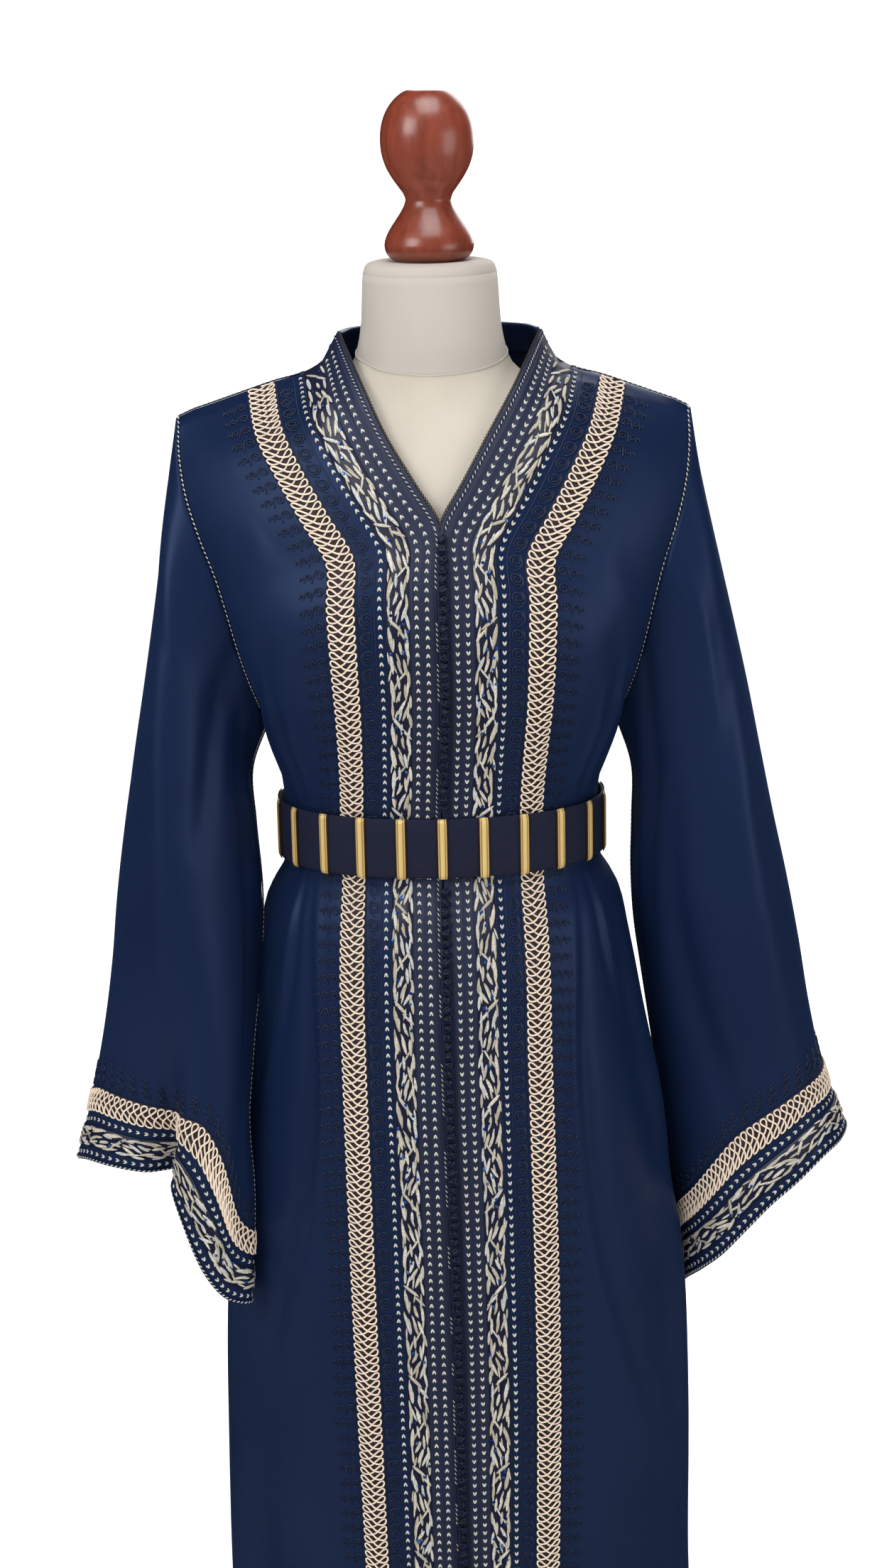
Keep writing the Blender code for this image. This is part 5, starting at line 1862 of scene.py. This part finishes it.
def seam_lines(name):
    """Where the rope edging lies on one side: shoulder, armhole, underarm seam and cuff edge."""
    front, back, sleeve = shapes()[f"front_{name}"], shapes()["back"], shapes()[f"sleeve_{name}"]
    side = 1 if name == "left" else -1
    lines = []
    s = np.linspace(46, front.s[-1] - 1, 80)
    points, _, _, _ = front.look(np.full_like(s, front.v[-1]), s)
    out = np.tile(np.array([0.0, 0.0, 1.0]), (len(s), 1))
    lines.append((points + np.array([0, -0.4, 1.0]), out))
    top, low = front.v[-1] - 1, FRONT[ARMPIT]["z_in"] + 2
    v = np.linspace(top, low, 120)
    points, out, _, _ = front.look(v, np.full_like(v, front.s[-1] - 1.2))
    edge = back.s[0] if side > 0 else back.s[-1]
    v_back = np.linspace(BACK[ARMPIT]["z_in"] + 2, back.v[-1] - 1, 120)
    behind, behind_out, _, _ = back.look(v_back, np.full_like(v_back, edge + side * 1.2))
    out = np.concatenate([out, behind_out])
    lines.append((np.concatenate([points, behind]) + out * 0.7, out))
    under = sleeve.period * 9 / 18
    v = np.linspace(70, sleeve.v[-1] - 3, 160)
    points, out, _, _ = sleeve.look(v, np.full_like(v, under))
    lines.append((points + out * 0.7, out))
    s = np.linspace(0, sleeve.period - 0.01, 200)
    points, out, _, _ = sleeve.look(np.full_like(s, 1.6), s)
    lines.append((points + out * 0.6, out))
    return lines


class KAFTAN_OT_gold_cord(bpy.types.Operator):
    """Lays the looped gold cord on its bands"""

    bl_idname = "kaftan.gold_cord"
    bl_label = "Looped gold cord"

    def execute(self, context):
        for name in ("left", "right"):
            cloth = shapes()[f"front_{name}"]
            band = Band(cloth, BRAID_MIDDLE, cloth.v[0] + 2, cloth.v[-1] - 2)
            lot = looped_lot(band, BRAID_MIDDLE, LOOP_HALF, LOOP_RISE)
            keep([lot], f"gold_cord_{name}", "gold_cord")
            band = Band(shapes()[f"sleeve_{name}"], CUFF_BRAID_MIDDLE)
            lot = looped_lot(band, CUFF_BRAID_MIDDLE, CUFF_LOOP_HALF, LOOP_RISE)
            keep([lot], f"cuff_gold_cord_{name}", "gold_cord")
        return {"FINISHED"}


class KAFTAN_OT_scrolls(bpy.types.Operator):
    """Couches the navy scrolls and sprays beside the gold braid"""

    bl_idname = "kaftan.scrolls"
    bl_label = "Navy scrolls"

    def execute(self, context):
        for name in ("left", "right"):
            cloth = shapes()[f"front_{name}"]
            low, high = cloth.v[0] + 8, cloth.v[-1] - 8
            lots = scroll_lots(Band(cloth, SCROLL_MIDDLE, low, high), SCROLL_MIDDLE, NAVY_RISE)
            lots += spray_lots(Band(cloth, SPRAY_MIDDLE, low, high), SPRAY_EDGE, NAVY_RISE)
            keep(lots, f"scrolls_{name}", "tonal_cord")
            lots = spray_lots(Band(shapes()[f"sleeve_{name}"], CUFF_SPRAY_MIDDLE), CUFF_SPRAY_EDGE, NAVY_RISE)
            keep(lots, f"cuff_scrolls_{name}", "tonal_cord")
        return {"FINISHED"}


class KAFTAN_OT_leaves(bpy.types.Operator):
    """Embroiders the leaves and scatters the sequins"""

    bl_idname = "kaftan.leaves"
    bl_label = "Leaves and sequins"

    def execute(self, context):
        discs = []
        for seed, name in enumerate(("left", "right")):
            cloth = shapes()[f"front_{name}"]
            band = Band(cloth, LEAF_MIDDLE, cloth.v[0] + 6, cloth.v[-1] - 6)
            hand = -1 if name == "left" else 1
            lot, tones, spots = leaf_lots(band, LEAF_MIDDLE, LEAF_TOP + 0.3, 11 + seed, hand)
            keep([lot], f"leaves_{name}", "leaf", tones)
            discs.append(spots)
            band = Band(shapes()[f"sleeve_{name}"], CUFF_LEAF_MIDDLE)
            lot, tones, spots = leaf_lots(band, CUFF_LEAF_MIDDLE, LEAF_TOP + 0.3, 31 + seed)
            keep([lot], f"cuff_leaves_{name}", "leaf", tones)
            discs.append(spots)
        keep(discs, "sequins", "sequin")
        return {"FINISHED"}


def knot_shape():
    """A knotted button, one unit across: a cord that winds over and under round a ball."""
    turn = np.linspace(0, math.tau, 37)[:-1]
    around, height = 3 * turn, 0.95 * np.sin(4 * turn)
    reach = 0.41 + 0.03 * np.cos(4 * turn)
    level = reach * np.cos(height)
    points = np.stack([level * np.cos(around), reach * np.sin(height), level * np.sin(around)], axis=1)
    lot = tubes([points], [unit(points)], 0.13, 4, closed=True)
    faces = np.concatenate([lot[1][:, [0, 1, 2]], lot[1][:, [0, 2, 3]]])
    core, core_faces, core_uvs = seed_shape(6, 4, flat=1.0)
    return gathered([(lot[0], faces, lot[2] * 8), (core * 0.8, core_faces, core_uvs * 0.001)])


class KAFTAN_OT_buttons(bpy.types.Operator):
    """Knots the close rows of cord buttons down the front, above and below the belt"""

    bl_idname = "kaftan.buttons"
    bl_label = "Knotted buttons"

    def execute(self, context):
        grids = shapes()["grids"]
        shape = knot_shape()
        for name, low, high in BUTTON_ROWS:
            heights = np.arange(low + 4, high - 3, sizes().button_pitch / MM)
            spots = []
            for z in heights:
                spot = front_edge(grids, z)
                spots.append((spot.x + 1.3, spot.y - 4.6, spot.z))
            spots = np.array(spots)
            out = np.tile(np.array([0.0, -1.0, 0.0]), (len(spots), 1))
            ahead = np.tile(np.array([0.0, 0.0, 1.0]), (len(spots), 1))
            lots = [stamped(shape, spots, out, ahead, BUTTON_SIZE, np.arange(len(spots)) * 0.7)]
            made = keep(lots, f"knotted_buttons_{name}", "knot")
            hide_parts(f"button_row_{name}")
        return {"FINISHED"}


BAR_WIDTH = 9.5
BUTTON_ROWS = (("lower", 33, 988), ("upper", 1056, 1299))      # each row's name, lower and upper end
BUTTON_SIZE = (9.3, 8.2, 6.6)

# The belt's section: how far each place stands off the inner face, and its height above the lower edge.
BELT_FACE = (
    (0.0, 0.8), (0.0, 52.2), (1.0, 53.0), (2.4, 52.6), (3.0, 50.5), (3.1, 40), (3.15, 26.5), (3.1, 13),
    (3.0, 2.5), (2.4, 0.4), (1.0, 0.0),
)


def belt_line():
    """The smooth closed line under the belt at its middle, with its ways out."""
    loop, outs = waist_loop(shapes()["grids"])
    points = np.array([tuple(p) for p in loop])
    ways = np.array([tuple(n) for n in outs])
    gaps = np.linalg.norm(np.roll(points, -1, axis=0) - points, axis=1)
    run = np.concatenate([[0], np.cumsum(gaps)])
    total = run[-1]
    knots = np.concatenate([run[-4:-1] - total, run[:-1], run[:4] + total])
    index = np.arange(-3, len(points) + 4) % len(points)
    at = np.linspace(0, total, 221)
    line = smooth_line(knots, points[index], at)
    way = unit(smooth_line(knots, ways[index], at))
    return line, way, at


class KAFTAN_OT_belt(bpy.types.Operator):
    """Wraps the ribbed belt round the waist and sets the padded gold bars on it"""

    bl_idname = "kaftan.belt"
    bl_label = "Belt and bars"

    def execute(self, context):
        line, way, at = belt_line()
        rounds, steps = len(line) - 1, len(BELT_FACE)
        bm = bmesh.new()
        bmesh.ops.create_grid(bm, x_segments=rounds, y_segments=steps, size=0.5)
        layer = bm.loops.layers.uv.new("cloth")
        uvs = {}
        for vert in bm.verts:
            k, m = round((vert.co.x + 0.5) * rounds), round((vert.co.y + 0.5) * steps) % steps
            rise, height = BELT_FACE[m]
            spot = line[k] + way[k] * (BELT_LIFT + rise)
            vert.co = (spot[0], spot[1], BELT_LOW + height - spot[1] * BELT_RISE)
            uvs[vert.index] = (at[k] * MM, height * MM)
        for face in bm.faces:
            for loop in face.loops:
                loop[layer].uv = uvs[loop.vert.index]
        bmesh.ops.remove_doubles(bm, verts=bm.verts[:], dist=0.01)
        bmesh.ops.recalc_face_normals(bm, faces=bm.faces[:])
        belt = from_bmesh("belt_band", bm, "belt")
        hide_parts("belt")
        centres = []
        for k in range(BAR_COUNT):
            here = at[-1] * k / BAR_COUNT
            spot = np.array([np.interp(here, at, line[:, m]) for m in range(3)])
            out = unit(np.array([np.interp(here, at, way[:, m]) for m in range(3)]))
            spot = spot + out * (BELT_LIFT + BELT_THICK)
            spot[2] = (BELT_LOW + BELT_HIGH) / 2 - spot[1] * BELT_RISE
            centres.append((spot, out))
        places, outs = (np.array(x) for x in zip(*centres))
        ups = np.tile(np.array([0.0, 0.0, 1.0]), (BAR_COUNT, 1))
        bars = keep([stamped(bar_shape(), places, outs, ups, (1, 1, 1))], "belt_bars", "bar")
        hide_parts(*[f"belt_bar_{k + 1:02d}" for k in range(BAR_COUNT)])
        return {"FINISHED"}


def bar_shape():
    """A padded bar in millimetres: crowned, rounded at its ends, with two grooves along it."""
    bm = bmesh.new()
    bmesh.ops.create_grid(bm, x_segments=14, y_segments=16, size=0.5)
    made = bmesh.ops.extrude_face_region(bm, geom=bm.faces[:], use_keep_orig=True)["geom"]
    under = {vert for vert in made if isinstance(vert, bmesh.types.BMVert)}
    half, tall = BAR_WIDTH / 2 + 0.3, (BELT_HIGH - BELT_LOW) / 2 + 0.5
    uv = []
    for vert in bm.verts:
        x, y = vert.co.x * 2, vert.co.y * 2
        crown = (1 - abs(x) ** 4) * (1 - abs(y) ** 14)
        groove = 0.4 * math.exp(-(((abs(x) - 0.62) / 0.12) ** 2))
        height = 0.1 if vert in under else 0.5 + 1.9 * crown ** 0.6 - groove * crown
        across = x * half * (1 - 0.10 * abs(y) ** 10)
        uv.append((x / 2 + 0.5, y / 2 + 0.5))
        vert.co = (across, y * tall, height)
    bmesh.ops.triangulate(bm, faces=bm.faces[:])
    bmesh.ops.recalc_face_normals(bm, faces=bm.faces[:])
    return *as_arrays(bm), np.array(uv)


# Sections of the turned pieces from bottom to top: radius and height.
NECK_PROFILE = (
    (0.01, 1436.8), (52, 1436.9), (54, 1437.4), (55, 1444), (55.8, 1455), (56.2, 1464), (56.5, 1472),
    (56.8, 1488), (56.8, 1500), (56.2, 1506), (53.6, 1510.4), (49, 1512), (30, 1512.3), (0.01, 1512.4),
)
FINIAL_PROFILE = (
    (0.01, 1512.5), (29, 1512.5), (33.5, 1515), (37, 1520), (38, 1526), (36.6, 1532), (33, 1539),
    (28.6, 1545.6), (23.6, 1553), (20.4, 1559), (19.4, 1563), (20.6, 1567), (24.6, 1573), (30, 1580.6),
    (35.2, 1590), (38.4, 1600), (39.5, 1610), (39.2, 1619), (37.4, 1628), (33.6, 1637), (28, 1644.6),
    (22.5, 1649.4), (18, 1652.0), (17.4, 1652.2), (0.01, 1653.4),
)


def spun(name, profile, finish, sides=72):
    """A turned piece from its profile of (radius, height), smooth but for its sharp edges."""
    line = np.array(profile, float)
    knots = np.concatenate([[0], np.cumsum(np.linalg.norm(np.diff(line, axis=0), axis=1))])
    at = np.unique(np.concatenate([knots, np.linspace(0, knots[-1], int(knots[-1] / 2.2))]))
    fine = smooth_line(knots, line, at)
    bm = bmesh.new()
    verts = [bm.verts.new((max(0.0, r), 0, z)) for r, z in fine]
    edges = [bm.edges.new(pair) for pair in zip(verts, verts[1:])]
    bmesh.ops.spin(
        bm, geom=verts + edges, cent=(0, 0, 0), axis=(0, 0, 1), angle=math.tau, steps=sides, use_merge=True
    )
    bmesh.ops.remove_doubles(bm, verts=bm.verts[:], dist=0.001)
    rims = [edge for edge in bm.edges if edge.is_boundary]
    if rims:
        bmesh.ops.holes_fill(bm, edges=rims, sides=0)
    bmesh.ops.recalc_face_normals(bm, faces=bm.faces[:])
    made = from_bmesh(name, bm, finish)
    made.data.set_sharp_from_angle(angle=math.radians(38))
    return made


class KAFTAN_OT_form(bpy.types.Operator):
    """Makes the dress form's body, neck, finial and stand"""

    bl_idname = "kaftan.form"
    bl_label = "Dress form"

    def execute(self, context):
        grids = shapes()["grids"]
        walls = [sheet_tree(grids[name][0]) for name in ("front_left", "front_right", "back")]
        walls.append(sheet_tree(neckline(grids)))
        trees = [BVHTree.FromPolygons(*wall) for wall in walls]
        rings = []
        for row in as_rows(TORSO_COLUMNS, TORSO):
            ring = []
            for k in range(TORSO_SIDES):
                phi = math.tau * k / TORSO_SIDES
                depth = row["back"] if math.cos(phi) < 0 else -row["front"]
                x = row["half"] * math.copysign(abs(math.sin(phi)) ** (2 / row["full"]), math.sin(phi))
                y = -depth * math.copysign(abs(math.cos(phi)) ** (2 / row["full"]), math.cos(phi))
                ring.append(Vector((x, y, row["z"])))
            rings.append(ring)
        settle(rings, lambda point: clear_of(point, trees))
        # The jersey goes on over the neck as one skin up to its top rounding; the neck is slimmer under it.
        turns = [math.tau * k / TORSO_SIDES for k in range(TORSO_SIDES)]
        rings.append([Vector((NECK_LAP * math.sin(a), -NECK_LAP * math.cos(a), LAP_TOP)) for a in turns])
        round_it = np.mean([line_length(ring + ring[:1]) for ring in rings])
        knots = [round_it * k / TORSO_SIDES for k in range(TORSO_SIDES)]
        sheet = Cloth(rings, [row[0] for row in TORSO] + [LAP_TOP], knots, 1, period=round_it)
        body = cloth_piece(
            "form_body", sheet, (sheet.v[0], sheet.v[-1]), (0, round_it), "jersey", "form_jersey", rise=-0.7,
            fine=(7, 9),
        )
        body.modifiers.clear()
        bm = bmesh.new()
        bm.from_mesh(body.data)
        bmesh.ops.holes_fill(bm, edges=[edge for edge in bm.edges if edge.is_boundary], sides=0)
        bmesh.ops.recalc_face_normals(bm, faces=bm.faces[:])
        bm.to_mesh(body.data)
        bm.free()
        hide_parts("torso")
        s = np.linspace(0, round_it, 121)[:-1]
        v = np.full_like(s, NECK_SEAM)
        for _ in range(6):
            points, out, _, _ = sheet.look(v, s)
            v = np.minimum(v + NECK_SEAM + NECK_TILT * points[:, 1] - points[:, 2], sheet.v[-1])
        points, out, _, _ = sheet.look(v, s)
        seam = tubes([points - out * 0.5], [out], 0.7, 6, closed=True)
        keep([seam], "form_neck_seam", "jersey")
        neck = spun("form_neck", NECK_PROFILE, "neck")
        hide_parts("neck_cap")
        finial = spun("turned_finial", FINIAL_PROFILE, "wood")
        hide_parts("finial")
        for name, finish in (("pole", pole_steel), ("base", turned_wood)):
            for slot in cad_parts[name].material_slots:
                slot.material = finish()
            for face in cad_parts[name].data.polygons:
                face.use_smooth = True
        return {"FINISHED"}


# The stage: how much the floor and the background light up, and how bright the room is.
FLOOR_GLOW, PAPER_GLOW, ROOM = 0.88, 1.0, 0.36

# Soft lights: each one's name, place and aim in metres, width and power in watts.
LIGHTS = (
    ("key", (-2.0, -1.9, 2.7), (0, 0, 0.9), 1.5, 50),
    ("fill", (2.4, -1.7, 1.4), (0, 0, 0.8), 1.6, 20),
    ("top", (0.1, -0.6, 3.4), (0, 0, 1.3), 1.5, 38),
    ("rear", (0.8, 2.6, 2.3), (0, 0, 1.0), 2.0, 42),
)

# The camera of the photo: its place in metres, how far it looks down and is tilted, in degrees, and its
# focal length in the photo's pixels against the photo's height.
CAMERA = (0, -2.38, 1.72)
CAMERA_DOWN, CAMERA_TILT = 15.7, 1.25
FOCAL, PHOTO_TALL, SENSOR = 3900, 2208, 36.0


class KAFTAN_OT_stage(bpy.types.Operator):
    """Sets the pale floor, the soft studio light and the camera"""

    bl_idname = "kaftan.stage"
    bl_label = "Stage, light and camera"

    def staged(self, name, bm, finish, colour, glow):
        """A part of the stage, evenly pale."""
        mesh = bpy.data.meshes.new(name)
        bm.to_mesh(mesh)
        bm.free()
        made = bpy.data.objects.new(name, mesh)
        bpy.context.scene.collection.objects.link(made)
        paint, _, shader = blank(finish, Roughness=0.9)
        shader.inputs["Base Color"].default_value = linear(colour)
        shader.inputs["Emission Color"].default_value = linear(colour)
        shader.inputs["Emission Strength"].default_value = glow
        mesh.materials.append(paint)
        return made

    def execute(self, context):
        scene = context.scene
        bm = bmesh.new()
        bmesh.ops.create_circle(bm, cap_ends=True, segments=64, radius=8.0)
        floor = self.staged("floor", bm, "paint_matt_rolled", "#f2f1ee", FLOOR_GLOW)
        floor.location = (0, 0, -0.0005)
        floor.visible_glossy = False
        bm = bmesh.new()
        bmesh.ops.create_uvsphere(bm, u_segments=48, v_segments=24, radius=9.0)
        bmesh.ops.reverse_faces(bm, faces=bm.faces[:])
        paper = self.staged("backdrop", bm, "paper_seamless_white", "#ffffff", PAPER_GLOW)
        paper.visible_diffuse = paper.visible_glossy = paper.visible_shadow = False
        world = bpy.data.worlds.new("studio")
        world.use_nodes = True
        room = world.node_tree.nodes["Background"]
        room.inputs["Color"].default_value = (1.0, 1.0, 1.0, 1.0)
        room.inputs["Strength"].default_value = ROOM
        # The satin mirrors the softboxes alone, as it does in a dim room.
        world.cycles_visibility.glossy = False
        scene.world = world
        for name, place, aim, size, power in LIGHTS:
            light = bpy.data.lights.new(name, "AREA")
            light.energy, light.size = power, size
            made = bpy.data.objects.new(name, light)
            made.location = place
            made.rotation_euler = (Vector(aim) - Vector(place)).to_track_quat("-Z", "Y").to_euler()
            scene.collection.objects.link(made)
        view = bpy.data.cameras.new("view")
        camera = bpy.data.objects.new("view", view)
        scene.collection.objects.link(camera)
        view.sensor_width, view.lens = SENSOR, FOCAL / PHOTO_TALL * SENSOR
        camera.location = CAMERA
        pitch = math.radians(CAMERA_DOWN)
        ahead = Vector((0, math.cos(pitch), -math.sin(pitch)))
        tilt = Matrix.Rotation(-math.radians(CAMERA_TILT), 3, "Z")
        camera.rotation_euler = (ahead.to_track_quat("-Z", "Y").to_matrix() @ tilt).to_euler()
        scene.camera = camera
        scene.view_settings.view_transform = "Standard"
        return {"FINISHED"}


OPERATORS = (
    KAFTAN_OT_stage,
    KAFTAN_OT_dress,
    KAFTAN_OT_sleeves,
    KAFTAN_OT_collar,
    KAFTAN_OT_bands,
    KAFTAN_OT_edging,
    KAFTAN_OT_stitching,
    KAFTAN_OT_gold_cord,
    KAFTAN_OT_scrolls,
    KAFTAN_OT_leaves,
    KAFTAN_OT_buttons,
    KAFTAN_OT_belt,
    KAFTAN_OT_form,
)


class KAFTAN_PT_panel(bpy.types.Panel):
    """Lists the kaftan's sizes, colours and pieces"""

    bl_idname = "KAFTAN_PT_panel"
    bl_label = "Kaftan"
    bl_space_type = "VIEW_3D"
    bl_region_type = "UI"
    bl_category = "Kaftan"

    def draw(self, context):
        for group in (context.scene.kaftan_sizes, context.scene.kaftan_colours):
            column = self.layout.column(align=True)
            for name in group.__annotations__:
                column.prop(group, name)
        column = self.layout.column(align=True)
        for operator in OPERATORS:
            column.operator(operator.bl_idname)


CLASSES = (KaftanSizes, KaftanColours, *OPERATORS, KAFTAN_PT_panel)


def register():
    for made in CLASSES:
        bpy.utils.register_class(made)
    bpy.types.Scene.kaftan_sizes = PointerProperty(type=KaftanSizes)
    bpy.types.Scene.kaftan_colours = PointerProperty(type=KaftanColours)


def unregister():
    del bpy.types.Scene.kaftan_colours
    del bpy.types.Scene.kaftan_sizes
    for made in reversed(CLASSES):
        bpy.utils.unregister_class(made)


def plain(bounds):
    return [list(corner) for corner in bounds]


def main():
    register()
    for operator in OPERATORS:
        group, name = operator.bl_idname.split(".")
        getattr(getattr(bpy.ops, group), name)()


if __name__ == "__main__":
    main()
